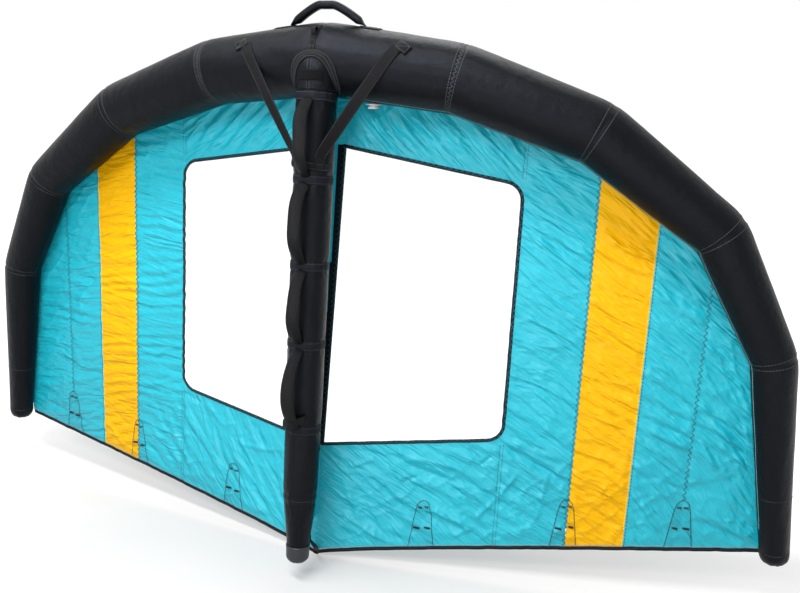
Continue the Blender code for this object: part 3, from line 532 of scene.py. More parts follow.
def make_sleeve():
    """The ten sewn lengths of the leading edge, their seams, and the rounded tips."""
    around = AROUND
    turn = np.linspace(0, 2 * np.pi, 180)
    for side, sign in SIDES:
        for k in range(5):
            end = kink_u[k + 1] - (0.01 if k == 4 else 0.0)
            count = int((end - kink_u[k]) / SLEEVE_STEP) + 2
            u = sign * np.maximum(kink_u[k] + (end - kink_u[k]) * np.linspace(0, 1, count), 1e-7)[:, None]
            grid_piece("sleeve_%d_%s" % (k + 1, side), edge_point(u, around)[0],
                       flat_map(u + k * 3.1, around * EDGE_MAP), "sleeve_cloth", ring=True, flip=sign < 0,
                       replaces="edge_panel_%d_%s" % (k + 1, side), fill=1.0)
        u = sign * np.linspace(0.09, EDGE_LENGTH - 0.09, 400)
        pale.row(*edge_point(u, PIPING[side], 0.0006), 0.01, 0.0022, 0.0008, 0.93)
        for k in range(1, 5):
            for off in (-0.01, 0.01):
                grey.row(*edge_point(sign * (kink_u[k] + off), turn, 0.0002), 0.0085, 0.002, 0.001)
        grey.zigzag(*edge_point(sign * kink_u[1], turn, 0.0002), 0.007, 0.005, 0.0017, 0.001)
        for off in (-0.205, -0.012):
            grey.row(*edge_point(sign * (EDGE_LENGTH + off), turn, 0.0002), 0.007, 0.0014, 0.0009)
        make_tip(side, sign)


def make_tip(side, sign):
    """A gathered fabric end over the tip of the tube."""
    centre, (along, inward, behind) = edge_line(sign * EDGE_LENGTH), edge_frame(sign * (EDGE_LENGTH - 0.006))
    ripple = np.cos(AROUND * 11 + 1.3 * np.sin(AROUND * 3)) * 0.6 + 0.4 * np.cos(AROUND * 7 + 1)

    def row(k, place):
        out, share = place
        r = EDGE_RADII[5] * share * (1 - smooth(k / 7) * 0.055 * (0.5 + 0.5 * ripple))
        r = r + 0.0008 * noise(AROUND * 3, out * 80, 5)
        push = 0.0022 * smooth(k / 6) * ripple * share
        points = centre + along * sign * (out + push)[:, None] + r[:, None] * turned(AROUND, inward, behind)
        return points, flat_map(out, AROUND * 0.045)

    profile = ((-0.012, 1.012), (-0.006, 1.02), (0.004, 1.015), (0.012, 0.985), (0.019, 0.93), (0.025, 0.84),
               (0.03, 0.7), (0.033, 0.52), (0.0345, 0.34), (0.0335, 0.2), (0.031, 0.1))
    grid_piece("tip_end_" + side, *swept(enumerate(profile), row), "sleeve_cloth", ring=True, flip=sign < 0,
               caps=True, replaces="tip_cap_" + side)


def make_bladders():
    """The airtight tubes inside the leading edge and the strut."""
    around = AROUND[::3]
    u = np.linspace(-EDGE_LENGTH + 0.012, EDGE_LENGTH - 0.012, 240)[:, None]
    _, inward, behind = edge_frame(u)
    grid = edge_line(u) + turned(around, inward, behind) * (edge_radius(u) - 0.009)[..., None]
    grid_piece("edge_bladder_tube", grid, flat_map(u, around * EDGE_MAP), "bladder_film", ring=True, caps=True,
               replaces="edge_bladder")
    t = np.linspace(0.05, 0.995, 60)[:, None]
    grid_piece("strut_bladder_tube", strut_point(t, around, -0.005)[0], flat_map(t * 1.5, around * STRUT_MAP),
               "bladder_film", ring=True, caps=True, replaces="strut_bladder")


# The strut's line: t is the share of its length from the top; angle turns from the front to the right

STRUT_LENGTH = float(np.linalg.norm(STRUT_END - STRUT_TOP))
STRUT_WAY = unit(STRUT_END - STRUT_TOP)
STRUT_FRONT = unit(-Y + STRUT_WAY[1] * STRUT_WAY)


def strut_point(t, angle, lift=0.0, relief=True):
    t, angle = np.broadcast_arrays(np.asarray(t, float), np.asarray(angle, float))
    r = np.mean([np.interp(t + 0.012 * k, STRUT_SHARES, STRUT_RADII) for k in (-1, -0.5, 0, 0.5, 1)], axis=0) + lift
    if relief:
        r = r + strut_relief(t, angle)
    out = turned(angle, STRUT_FRONT, X)
    return STRUT_TOP + STRUT_WAY * (t * STRUT_LENGTH)[..., None] + out * r[..., None], out


def strut_relief(t, angle):
    """Seams and bands pinch the strut's sleeve, and folds run from them."""
    out = 0.0007 * noise(t * 16, angle * 2.2, 21) + 0.0004 * noise(t * 60, angle * 5, 22)
    for k, band in enumerate(BANDS + (TAIL_SEAM,)):
        away = (t - band) * STRUT_LENGTH
        pleat = 0.5 + 0.5 * np.cos(angle * 13 + 2.5 * noise(away * 18, angle * 1.3, 60 + k))
        away = np.abs(away)
        out = out - 0.0016 * (bell(away - 0.016, 0.006) + pleat * np.exp(-np.abs(away - 0.014) / 0.022))
    return out


def make_strut():
    """The strut's sleeve, with its five stitched bands and the seam at its tail."""
    t = np.linspace(-0.012, 1.0, 300)[:, None]
    grid_piece("strut_sleeve_cloth", strut_point(t, AROUND)[0], flat_map(t * STRUT_LENGTH, AROUND * STRUT_MAP),
               "sleeve_cloth", ring=True, replaces="strut_sleeve", fill=1.0)
    turn = np.linspace(0, 2 * np.pi, 120)
    half = BAND_HALF / STRUT_LENGTH
    profile = ((-1.02, -0.0008), (-1, 0.0006), (-0.86, 0.0012), (0, 0.0011), (0.86, 0.0012), (1, 0.0006),
               (1.02, -0.0008))
    for k, band in enumerate(BANDS):
        def row(share, lift):
            return strut_point(band + half * share, AROUND, lift)[0], flat_map(share * BAND_HALF, AROUND * STRUT_MAP)

        grid_piece("strut_band_%d" % (k + 1), *swept(profile, row), "dark_trim", ring=True)
        for share in (-0.72, 0.72):
            grey.row(*strut_point(band + half * share, turn, 0.0013), *BAND_ROW)
    grey.row(*strut_point(TAIL_SEAM, turn, 0.0003), *BAND_ROW)


def make_tail():
    """The reinforced cap over the strut's tail."""
    r0 = STRUT_RADII[-1] + COVER

    def row(along, radius):
        crease = 0.0006 * noise(AROUND * 4, along * 120, 31)
        points = STRUT_END + STRUT_WAY * along + turned(AROUND, STRUT_FRONT, X) * (radius + crease)[:, None]
        return points, flat_map(along, AROUND * 0.04)

    profile = ((-0.0395, r0 - 0.0012), (-0.04, r0 + 0.0012), (-0.036, r0 + 0.002), (-0.031, r0 + 0.0008),
               (-0.01, r0 + 0.0004), (0.0, r0), (0.007, r0 - 0.001), (0.013, r0 - 0.004), (0.0185, r0 - 0.0095),
               (0.0218, 0.0235), (0.0226, 0.016), (0.0226, 0.006))
    grid_piece("tail_end", *swept(profile, row), "moulded_black", ring=True, caps=True, replaces="tail_cap")
    out = turned(np.linspace(0, 2 * np.pi, 90), STRUT_FRONT, X)
    grey.row(STRUT_END - STRUT_WAY * 0.027 + out * (r0 + 0.0008), out, 0.005, 0.001, 0.0007)


# The canopy: its edges, its depth and its relief

def attach_points():
    """Where the canopy is sewn to the back of the tube, at each kink."""
    runs = unit(np.diff(kinks, axis=0))
    normals = [X] + [unit(a + b) for a, b in zip(runs, runs[1:])] + [runs[4]]
    places = []
    for k, normal in enumerate(normals):
        behind = unit(Y - normal[1] * normal)
        way = turned(ATTACH_ANGLE, np.cross(behind, normal), behind)
        places.append(kinks[k] + way * (EDGE_RADII[k] + 0.0009) / math.sqrt(1 - (way @ runs[min(k, 4)]) ** 2))
    return np.array(places)


attach = attach_points()
canopy_tip = attach[4] + (attach[5] - attach[4]) * 0.95


def top_z(s):
    return np.interp(np.abs(s), attach[:, 0], attach[:, 2])


def trail_z(s):
    return EDGE_Z - CHORD - (TIP_DROP - CHORD) * (np.abs(s) / HALF_SPAN) ** 0.8


def flat_y(s, z):
    """The canopy's depth where nothing folds it: straight from the tube to the trailing edge."""
    a = np.abs(s)
    above = np.interp(a, attach[:, 0], attach[:, 1])
    below = -CENTRE_OFFSET + (canopy_tip[1] + CENTRE_OFFSET) * a / canopy_tip[0]
    return above + (below - above) * (top_z(a) - z) / (top_z(a) - trail_z(a))


def crease(s, z, s0, z0, s1, z1, width, depth, bend):
    """One long fold between two places; it fades at both ends."""
    length = math.hypot(s1 - s0, z1 - z0)
    ax, az = (s1 - s0) / length, (z1 - z0) / length
    t = ((s - s0) * ax + (z - z0) * az) / length
    d = -(s - s0) * az + (z - z0) * ax - bend * 4 * t * (1 - t)
    d = d + 0.25 * width * noise(t * length * 22, 0.5, int(abs(s0 * 977 + z0 * 331)) % 1000)
    return CREASE_GAIN * depth * smooth(t / 0.18) * smooth((1 - t) / 0.3) * bell(d, width)


# Long folds in millimetres, each as span and height of its start and of its end, width, depth and bend
CREASES = (
    (-631, -1437, -393, -1675, 14, 6, 6), (-576, -1513, -447, -1641, 9, -4, 0),
    (-415, -1375, -363, -1580, 8, 4, -4), (-383, -1554, -203, -1724, 8, 5.5, 4),
    (-364, -1557, -240, -1696, 10, -4, 4), (-828, -1616, -655, -1747, 12, -5, 5),
    (-790, -1548, -594, -1689, 10, 4.5, 0), (-738, -1552, -584, -1653, 8, -3.5, 0),
    (-621, -1379, -519, -1405, 7, -3.5, 0), (-359, -1401, -311, -1482, 8, -4, 0),
    (-318, -1414, -265, -1517, 8, 4, 0), (-282, -1414, -228, -1538, 9, -3.5, 0),
    (-1032, -1579, -901, -1694, 10, 4.5, 0), (-996, -1528, -877, -1593, 8, -3, 0),
    (-614, -1723, -416, -1745, 8, -4.5, -4), (-787, -1272, -613, -1185, 8, 3.5, 0),
    (-815, -1388, -617, -1331, 9, 3.5, 0), (-1425, -1525, -1059, -1405, 11, 3, 0),
    (-1405, -1585, -1069, -1640, 10, -4, 6), (-342, -1653, -192, -1775, 10, 4, 0),
    (-365, -1510, -185, -1512, 9, 3, -4), (-514, -1388, -403, -1480, 10, 3, 0),
    (15, -1657, 110, -1690, 7, 5, 0), (103, -1684, 286, -1788, 7, 6.5, -3), (60, -1681, 228, -1773, 8, -4, 0),
    (182, -1633, 248, -1740, 7, 4.5, 0), (94, -1507, 211, -1465, 7, 3.5, 0),
    (243, -1479, 299, -1542, 6, 4.5, 0), (295, -1542, 358, -1506, 6, -4, 0), (55, -1439, 294, -1470, 11, -5, 6),
    (281, -1471, 537, -1529, 11, -5, -6), (293, -1448, 519, -1473, 9, 4, 0),
    (545, -1648, 613, -1567, 7, 4.5, 0), (607, -1575, 681, -1462, 7, 5.5, 0),
    (548, -1456, 594, -1408, 6, -4.5, 0), (612, -1377, 822, -1467, 12, -5.5, 5),
    (643, -1353, 830, -1410, 11, 5, 0), (394, -1626, 520, -1670, 8, 4.5, -4),
    (381, -1642, 494, -1695, 8, -3.5, 0), (710, -1530, 764, -1625, 8, 4, 0), (776, -1458, 760, -1575, 8, 4, 0),
    (825, -1361, 1017, -1431, 13, -4.5, 0), (845, -1436, 1026, -1522, 14, 4.5, 0),
    (868, -1541, 1024, -1623, 12, -4, 0), (1058, -1349, 1273, -1492, 11, -5, 4),
    (1085, -1423, 1240, -1475, 9, -4, 0), (1076, -1516, 1167, -1649, 11, 4, 0),
    (1232, -1281, 1303, -1384, 7, 5, 0), (1289, -1228, 1392, -1373, 7, 5, -5),
    (1314, -1279, 1402, -1358, 7, -4, 0), (1231, -1504, 1455, -1620, 12, 5, 0),
    (1270, -1564, 1433, -1638, 10, -4, 0), (1074, -1264, 1241, -1328, 12, 4.5, 0),
    (1324, -1077, 1381, -1204, 8, 4, 0), (1299, -1119, 1369, -1246, 8, -4, 0),
    (93, -1566, 155, -1730, 9, 3.5, 4), (476, -1720, 534, -1683, 8, 4, 0), (534, -1683, 606, -1733, 8, -4, 0),
    (965, -1674, 854, -1673, 8, 3, 0), (262, -1394, 286, -1449, 7, 4, 0), (513, -1388, 558, -1462, 7, -4.5, 0),
    (38, -1528, 228, -1528, 10, 3, 4)
)


def relief(s, z):
    """How far the cloth stands towards the rider from its flat run, in metres."""
    s, z = np.broadcast_arrays(np.asarray(s, float), np.asarray(z, float))
    low = z - trail_z(s)
    left = 1 - rise(s, -0.06, 0.06)
    right = 1 - left
    outer = rise(np.abs(s), 0.55, 0.7)
    bottom = (1 - rise(low, 0.22, 0.42)) * (1 - left * rise(-s, 0.66, 0.9))
    top = rise(z, -0.52, -0.4) * (1 - outer)
    side = 1 - np.clip(bottom + top, 0, 1)
    tip = rise(np.abs(s), STRIPE_OUT - 0.03, STRIPE_OUT + 0.1)
    loose = 0.45 + 0.55 * np.clip(bottom + top + outer * 0.5, 0, 1)
    out = 0.0
    for where, depth, fold, *form in (
            (left * side * (1 - tip), 0.0012, pleats, 0.1, 0.043, 201),
            (left * side * (1 - tip), 0.0005, pleats, -0.15, 0.021, 202, -0.1),
            (left * side * tip, 0.0012, pleats, 0.03, 0.05, 203),
            (left * side * tip, 0.0014, ridges, 0.7, 0.16, 0.05, 204, 5),
            (right * side, 0.0016, pleats, -0.52, 0.052, 205),
            (right * side, 0.0007, pleats, -0.7, 0.024, 206, -0.1),
            (right * side * rise(s, 0.95, 1.15), 0.0018, ridges, -0.95, 0.16, 0.05, 207, 5),
            (left * bottom, 0.0012, pleats, -0.98, 0.062, 208),
            (left * bottom, 0.0014, ridges, -0.9, 0.22, 0.055, 209, 5),
            (left * bottom, 0.0009, ridges, 0.35, 0.12, 0.035, 210, 4),
            (right * bottom, 0.0011, pleats, -0.55, 0.055, 211),
            (right * bottom, 0.0014, ridges, -0.8, 0.2, 0.06, 212, 5),
            (right * bottom, 0.0015, ridges, 0.75, 0.12, 0.045, 213, 5),
            (left * top, 0.0017, pleats, 0.7, 0.05, 214),
            (left * top, 0.0014, ridges, 0.55, 0.24, 0.04, 215, 5),
            (right * top, 0.0019, pleats, -0.82, 0.056, 216),
            (right * top, 0.0016, ridges, -0.65, 0.24, 0.045, 217, 5),
            (loose, 0.0011, ridges, 0.25, 0.17, 0.055, 218, 9),
            (loose, 0.0011, ridges, -0.75, 0.15, 0.05, 219, 9),
            (loose, 0.00077, ridges, 1.2, 0.12, 0.045, 220, 9)):
        out = out + where * depth * fold(s, z, *form)
    out = np.array(out * FOLD_GAIN + 0.004 * noise(s * 4.2, z * 4.2, 112)
                   + 0.001 * noise(s * 15, z * 15, 113))
    for c in np.array(CREASES) / 1000:
        middle, reach = (c[:2] + c[2:4]) / 2, np.abs(c[2:4] - c[:2]) / 2 + 0.06
        near = (np.abs(s - middle[0]) < reach[0]) & (np.abs(z - middle[1]) < reach[1])
        out[near] += crease(s[near], z[near], *c)
    for seam in (WINDOW_SEAM, STRIPE_IN, STRIPE_OUT, OUTER_SEAM):
        away = np.abs(np.abs(s) - seam)
        pucker = 0.0019 * noise(z * 48, s * 3, 120 + int(seam * 10)) * np.exp(-away / 0.024)
        out = out * (1 - 0.55 * bell(away, 0.012)) + pucker
    sill, head = window_edges(s)
    beside = np.where(np.abs(s) < WINDOW_SEAM, np.minimum(np.abs(z - sill), np.abs(z - head)), 1.0)
    out = out * np.minimum(rise(low, 0.0, 0.05), rise(top_z(s) - z, 0.0, 0.06))
    out = out * (0.25 + 0.75 * rise(beside, 0.004, 0.045)) * rise(1.47 - np.abs(s), 0.0, 0.05)
    return (out + 0.0013 * noise(s * 45, 0.3, 130) * np.exp(-low / 0.03)) * rise(np.abs(s), 0.03, 0.1)


def cloth_point(s, z, lift=0.0, bumps=None):
    """A place on the canopy; lift is towards the rider."""
    s, z = np.broadcast_arrays(np.asarray(s, float), np.asarray(z, float))
    bumps = relief(s, z) if bumps is None else bumps
    return np.stack([s, flat_y(s, z) - bumps - lift, z], -1)


def cloth_row(s, z, lift=0.0013):
    """A line on the canopy for stitches, and its normal."""
    return cloth_point(s, z, lift), -Y


def lean(s, z):
    """The panels beside the strut lean in: the windows' inner edges close in towards the tail."""
    low, high = EDGE_Z - WIN_LOW[0], EDGE_Z - WIN_TOP[0]
    inner = 0.006 + 0.026 * np.clip((z - low) / (high - low), 0, 1)
    a = np.abs(s)
    far = a + (inner - STRIP_HALF) * (WINDOW_SEAM - a) / (WINDOW_SEAM - STRIP_HALF)
    moved = np.where(a < STRIP_HALF, a * inner / STRIP_HALF, np.where(a < WINDOW_SEAM, far, a))
    return np.where(s < 0, -moved, moved)


def window_edges(s, grow=0.0):
    """The low and high edges of the window above each span, with its rounded corners."""
    a = np.abs(s)
    share = (a - STRIP_HALF) / (WINDOW_SEAM - STRIP_HALF)
    corner = WIN_CORNER + grow
    near = np.clip(a - (WINDOW_SEAM - WIN_CORNER), 0, corner)
    fall = corner - np.sqrt(np.maximum(corner ** 2 - near ** 2, 0))
    high = EDGE_Z - WIN_TOP[0] - (WIN_TOP[1] - WIN_TOP[0]) * share + grow - fall
    low = EDGE_Z - WIN_LOW[0] - (WIN_LOW[1] - WIN_LOW[0]) * share - grow + fall
    return low, high


def window_columns(grow=0.0):
    """The spans of the window's columns, which crowd at its rounded corners."""
    first, last = STRIP_HALF - grow, WINDOW_SEAM - WIN_CORNER
    middle = np.linspace(first, last, int((last - first) / FINE) + 1)[:-1]
    return np.r_[middle, last + (WIN_CORNER + grow) * np.cos(np.linspace(0, np.pi / 2, 13)[::-1])]


def sheet_piece(name, spans, lows, highs, material, replaces=None, clear=False, **more):
    """A sewn canopy panel between a low and a high edge."""
    rows = max(3, int(np.max(highs - lows) / FINE) + 1)
    z = lows + (highs - lows) * np.linspace(0, 1, rows)[:, None]
    s = np.broadcast_to(spans, z.shape)
    bumps = film_relief(s, z) if clear else None
    s = lean(s, z)
    piece = grid_piece(name, cloth_point(s, z, 0.0, bumps), np.stack([s, z], -1), material,
                       flip=spans[0] >= spans[-1], replaces=replaces, **more)


def film_relief(s, z):
    """The window's film is calm inside and follows the cloth at its rim."""
    low, high = window_edges(s)
    inside = np.minimum(rise(z - low, 0.0, 0.08), rise(high - z, 0.0, 0.08)) * rise(WINDOW_SEAM - np.abs(s), 0.0, 0.06)
    return relief(s, z) * (1 - inside) + inside * 0.002 * noise(s * 5, z * 5, 140)


def make_canopy():
    """The canopy's panels, windows, tapes and seams; folds is the angle of a panel's folds."""
    spans = np.linspace(-STRIP_HALF, STRIP_HALF, 9)
    high, low = np.full(9, EDGE_Z - WIN_TOP[0] + 0.004), np.full(9, EDGE_Z - WIN_LOW[0] - 0.004)
    turn = np.full(3, STRIP_TURN)
    sheet_piece("canopy_strip", spans[5:], low[5:], high[5:], "dark_trim", "canopy_centre_strip")
    sheet_piece("canopy_strip_left", spans[3::-1], low[3::-1], high[3::-1], "dark_trim")
    sheet_piece("canopy_strip_middle", spans[3:6], turn, high[3:6], "teal_cloth", folds=0.0)
    sheet_piece("canopy_strip_dark", spans[3:6], low[3:6], turn, "dark_trim")
    sheet_piece("canopy_strip_top", spans, high, top_z(spans), "teal_cloth", folds=0.0)
    sheet_piece("canopy_strip_low", spans, trail_z(spans), low, "teal_cloth", folds=0.0)
    for side, sign in SIDES:
        columns = sign * window_columns()
        lows, highs = window_edges(columns)
        sheet_piece("canopy_above_window_" + side, columns, highs, top_z(columns), "teal_cloth",
                    "canopy_upper_" + side, folds=(-0.85 if sign > 0 else 0.7))
        sheet_piece("canopy_below_window_" + side, columns, trail_z(columns), lows, "teal_cloth",
                    "canopy_lower_" + side, folds=(-0.55 if sign > 0 else -0.95))
        sheet_piece("window_film_" + side, columns, lows, highs, "window_film", "window_" + side, clear=True)
        for name, node, first, last, material, right, left in (
                ("canopy_inner_panel_", "canopy_middle_", WINDOW_SEAM, STRIPE_IN, "teal_cloth", -0.5, -0.12),
                ("canopy_yellow_panel_", "canopy_stripe_", STRIPE_IN, STRIPE_OUT, "yellow_cloth", -0.42, 0.1),
                ("canopy_outer_panel_", "canopy_outer_", STRIPE_OUT, canopy_tip[0], "teal_cloth", -0.72, 0.18)):
            spans = sign * np.linspace(first, last, int((last - first) / FINE) + 2)
            sheet_piece(name + side, spans, trail_z(spans), top_z(spans), material, node + side,
                        folds=(right if sign > 0 else left))
        make_window_tape(side, sign)
        make_canopy_seams(sign)
    make_hem()


def window_loop(sign, grow):
    """The window's outline as a closed line of spans and heights."""
    columns = window_columns(grow)
    lows, highs = window_edges(columns, grow)
    count = int((highs[0] - lows[0]) / 0.012)
    climb = np.linspace(lows[0], highs[0], count)[1:-1]
    fall = np.linspace(highs[-1], lows[-1], count)[1:-1]
    s = np.r_[np.full(len(climb), columns[0]), columns, np.full(len(fall), columns[-1]), columns[::-1]]
    z = np.r_[climb, highs, fall, lows[::-1]]
    return flat_map(sign * lean(s, z), z)


def make_window_tape(side, sign):
    """The folded tape round a window, with its zigzag seam."""
    def row(grow, lift):
        loop = window_loop(sign, grow)
        pick = np.linspace(0, len(loop) - 1, 700)
        place = cloth_point(*interp_line(pick, np.arange(len(loop)), loop).T, lift)
        return place, flat_map(run_along(place), lift * 5)

    grid, uv = swept(((-0.0062, 0.0004), (-0.006, 0.0019), (0.0, 0.0022), (0.0055, 0.0019), (0.0057, 0.0004)), row)
    grid_piece("window_border_" + side, grid, uv, "dark_trim", ring=True, flip=sign < 0,
               replaces="window_tape_" + side)
    teal.zigzag(grid[2], -Y, 0.0095, 0.0058, 0.0026, 0.0007)


def make_canopy_seams(sign):
    """The rows of stitches down the canopy's seams."""
    def line(seam, offset=0.0, start=0.004):
        z = np.linspace(float(trail_z(seam)) + start, float(top_z(seam)) - 0.02, 220)
        return cloth_row(sign * (seam + offset), z)

    teal.zigzag(*line(STRIPE_IN, -0.004), 0.01, 0.0055, 0.0024, 0.0009)
    yellow.row(*line(STRIPE_OUT, -0.003), 0.01, 0.0026, 0.0009, 0.6)
    teal.row(*line(STRIPE_OUT, 0.004), 0.012, 0.0024, 0.0007, 0.55)
    for low, high in ((float(trail_z(WINDOW_SEAM)) + 0.004, -1.37), (-0.49, float(top_z(WINDOW_SEAM)) - 0.02)):
        for off in (-0.005, 0.005):
            beside = cloth_row(sign * (WINDOW_SEAM + off), np.linspace(low, high, 80))
            teal.row(*beside, 0.009, 0.0018, 0.0008, 0.6)
    teal.zigzag(*line(OUTER_SEAM, start=0.169), 0.01, 0.0055, 0.0022, 0.0009)
    for middle in BATTENS:
        sew_pocket(middle, sign)


def sew_pocket(middle, sign):
    """The stitched outline of a batten pocket, and its bar tacks."""
    half = ((0.043, 0.004), (0.026, 0.129), (0.019, 0.159), (0.01, 0.168))
    outline = np.array([(-s, z) for s, z in half] + [(0.0, 0.172)] + list(half[::-1]))
    ds, dz = interp_line(np.linspace(0, 8, 120), np.arange(9), outline).T
    s = middle + ds
    black.row(*cloth_row(sign * s, trail_z(s) + dz), 0.0085, 0.003, 0.0009, 0.72)
    for up, gap, length in ((0.146, 0.0105, 0.013), (0.071, 0.0185, 0.02)):
        for s in (middle - gap, middle + gap):
            black.tack(cloth_point(sign * s, trail_z(s) + up, 0.001), X, -Y, length, 0.0016, 0.0085)


def make_hem():
    """The tape folded over the trailing edge."""
    s = np.linspace(-HEM_HALF, HEM_HALF, 700)
    edge = trail_z(s)
    base = cloth_point(s, edge)[:, 1]

    def row(drop, lift):
        y = base - lift * (1 + 0.12 * noise(s * 40, drop * 200, 150))
        return np.stack([s, y, edge + drop + 0.0005 * noise(s * 25, 0.2, 151)], -1), flat_map(s, drop)

    profile = ((0.0015, 0.0), (0.002, 0.0017), (-0.003, 0.0021), (-0.0085, 0.0019), (-0.0118, 0.0008),
               (-0.0122, -0.0002), (-0.0118, -0.001), (-0.0085, -0.0019), (-0.003, -0.0021), (0.002, -0.0017))
    grid, uv = (part.transpose(1, 0, 2) for part in swept(profile, row))
    grid_piece("trailing_hem_tape", grid, uv, "dark_trim", ring=True, caps=True, replaces="trailing_hem")
    grey.row(cloth_point(s, edge, 0.0022) - 0.004 * Z, -Y, 0.007, 0.001, 0.0006)
    pale.row(*cloth_row(s, edge + 0.006, 0.0006), 0.009, 0.0026, 0.0006, 0.9)


def make_pockets():
    """Batten pockets on the back of the canopy, with a batten in each."""
    heights = np.linspace(0, 1, 36)[:, None]
    half = np.interp(heights, (0, 0.75, 0.88, 0.95, 1.0), (0.045, 0.027, 0.022, 0.014, 0.003))
    over = np.linspace(-1, 1, 19)
    for side, sign in SIDES:
        for number, middle in zip(("inner", "middle", "outer"), BATTENS):
            which = "%s_%s" % (number, side)
            s = middle + half * over
            z = trail_z(s) + 0.004 + POCKET * heights
            edge = (1 - np.abs(over)) * np.minimum(1, (1 - heights) * 12 + 0.02)
            puff = 0.0006 + 0.0042 * smooth(edge * 3.2) + 0.0005 * noise(s * 60, z * 40, 160)
            grid = cloth_point(sign * s, z, -puff)
            piece = grid_piece("batten_sleeve_" + which, grid, np.stack([s, z], -1), "teal_cloth", flip=sign > 0,
                               replaces="batten_pocket_" + which)
            z = float(trail_z(middle)) + 0.012 + 0.14 * np.linspace(0, 1, 24)
            strap("batten_%s_strip" % which, cloth_point(sign * middle, z, -0.003), -Y, 0.016, 0.0014, "batten",
                  power=5, replaces="batten_" + which)
            for column in (1, -2):
                black.row(grid[:, column] + Y * 0.0006, Y, 0.008, 0.0013, 0.0007)


# Soft handles, webbing and small parts

def make_grips():
    """The four soft handles down the strut's front, each tapering into its two sewn ends."""
    share = np.linspace(0, 1, 64)
    for number in range(4):
        start = strut_point(BANDS[number] + 0.01 / STRUT_LENGTH, 0.0, 0.0035, False)[0]
        end = strut_point(BANDS[number + 1] - 0.01 / STRUT_LENGTH, 0.0, 0.0035, False)[0]
        out = unit(np.cross(end - start, X))
        out = out if out @ STRUT_FRONT > 0 else -out
        bulge = 1 - np.abs(2 * share - 1) ** 2.6
        away = GRIP_RISE * bulge + 0.0025 * np.sin(share * np.pi * 3 + number) * bulge
        sway = 0.004 * np.sin(share * np.pi) * (-1) ** number
        centres = start + (end - start) * share[:, None] + out * away[:, None] + X * sway[:, None]
        widths = 0.04 + 0.004 * np.sin(share * np.pi) - 0.006 * bell(share - 0.96, 0.05)
        thick = 0.0035 + 0.0042 * smooth(np.minimum(share, 1 - share) / 0.12)
        outs = turned(0.1 * np.sin(share * 2 * np.pi + number * 1.3), out, X)
        name = "strut_handle_%d" % (number + 1)
        middle = (start + end) / 2
        strap("handle_strap_%d" % (number + 1), centres, outs, widths, thick, "webbing", sides=20, cup=0.004,
              power=3.4, body=name, replaces=name, blend=(tuple(middle), tuple(middle + out * 0.026)), fill=0.7)


def make_keeper():
    """The webbing loop that holds the lowest handle's end down."""
    turn = np.linspace(math.radians(-112), math.radians(106), 48)
    base, out = strut_point(KEEPER_PLACE, 0.0, 0.0, False)
    around = turned(turn, out, X)
    centres = base - X * 0.004 + 0.036 * around - out * 0.002 - STRUT_WAY * (0.012 * np.sin(turn * 0.8))[:, None]
    strap("handle_keeper", centres, around, 0.024, 0.0036, "webbing")


def make_carry():
    """The padded handle on top of the leading edge, and the webbing it is sewn down with."""
    share = np.linspace(-1, 1, 90)
    arch = 1 - (np.maximum(np.abs(share) - 0.18, 0) / 0.82) ** 1.3
    full = smooth(arch / 0.3)
    centres = np.stack([share * 0.122, 0.01091 * (1 - arch), -0.04603 + 0.05903 * arch], -1)
    widths = np.where(arch < 0.1, 0.024 + 0.06 * arch, 0.03 + 0.0015 * full)
    strap("carry_strap", centres, Z, widths, 0.0042 + 0.0215 * full, "sleeve_cloth", sides=28, power=2.3,
          slot="webbing", body="carry_handle", replaces="carry_handle",
          blend=((0, 0.0109, -0.04), (0, 0.0109, -0.022)), fill=0.9)
    u = np.linspace(0.098, 0.162, 24)
    profile = ((-0.145, 0.0006), (-0.142, 0.0022), (-0.07, 0.0026), (0.0, 0.0027), (0.12, 0.0026), (0.262, 0.0022),
               (0.265, 0.0006))
    a, b, c, d = np.array(((0.128, -0.11), (0.128, 0.23), (0.158, 0.23), (0.158, -0.11)))
    for side, sign in SIDES:
        def row(phi, lift):
            return edge_point(sign * u, np.pi + phi, lift)[0], flat_map(u, phi * 0.11)

        grid_piece("carry_tab_webbing_" + side, *swept(profile, row), "webbing", flip=sign < 0,
                   replaces="carry_tab_" + side)
        for start, end in ((a, b), (b, c), (c, d), (d, a), (a, c), (b, d)):
            at, phi = np.linspace(start, end, 12).T
            grey.row(*edge_point(sign * at, np.pi + phi, 0.0029), 0.005, 0.0011, 0.0006)


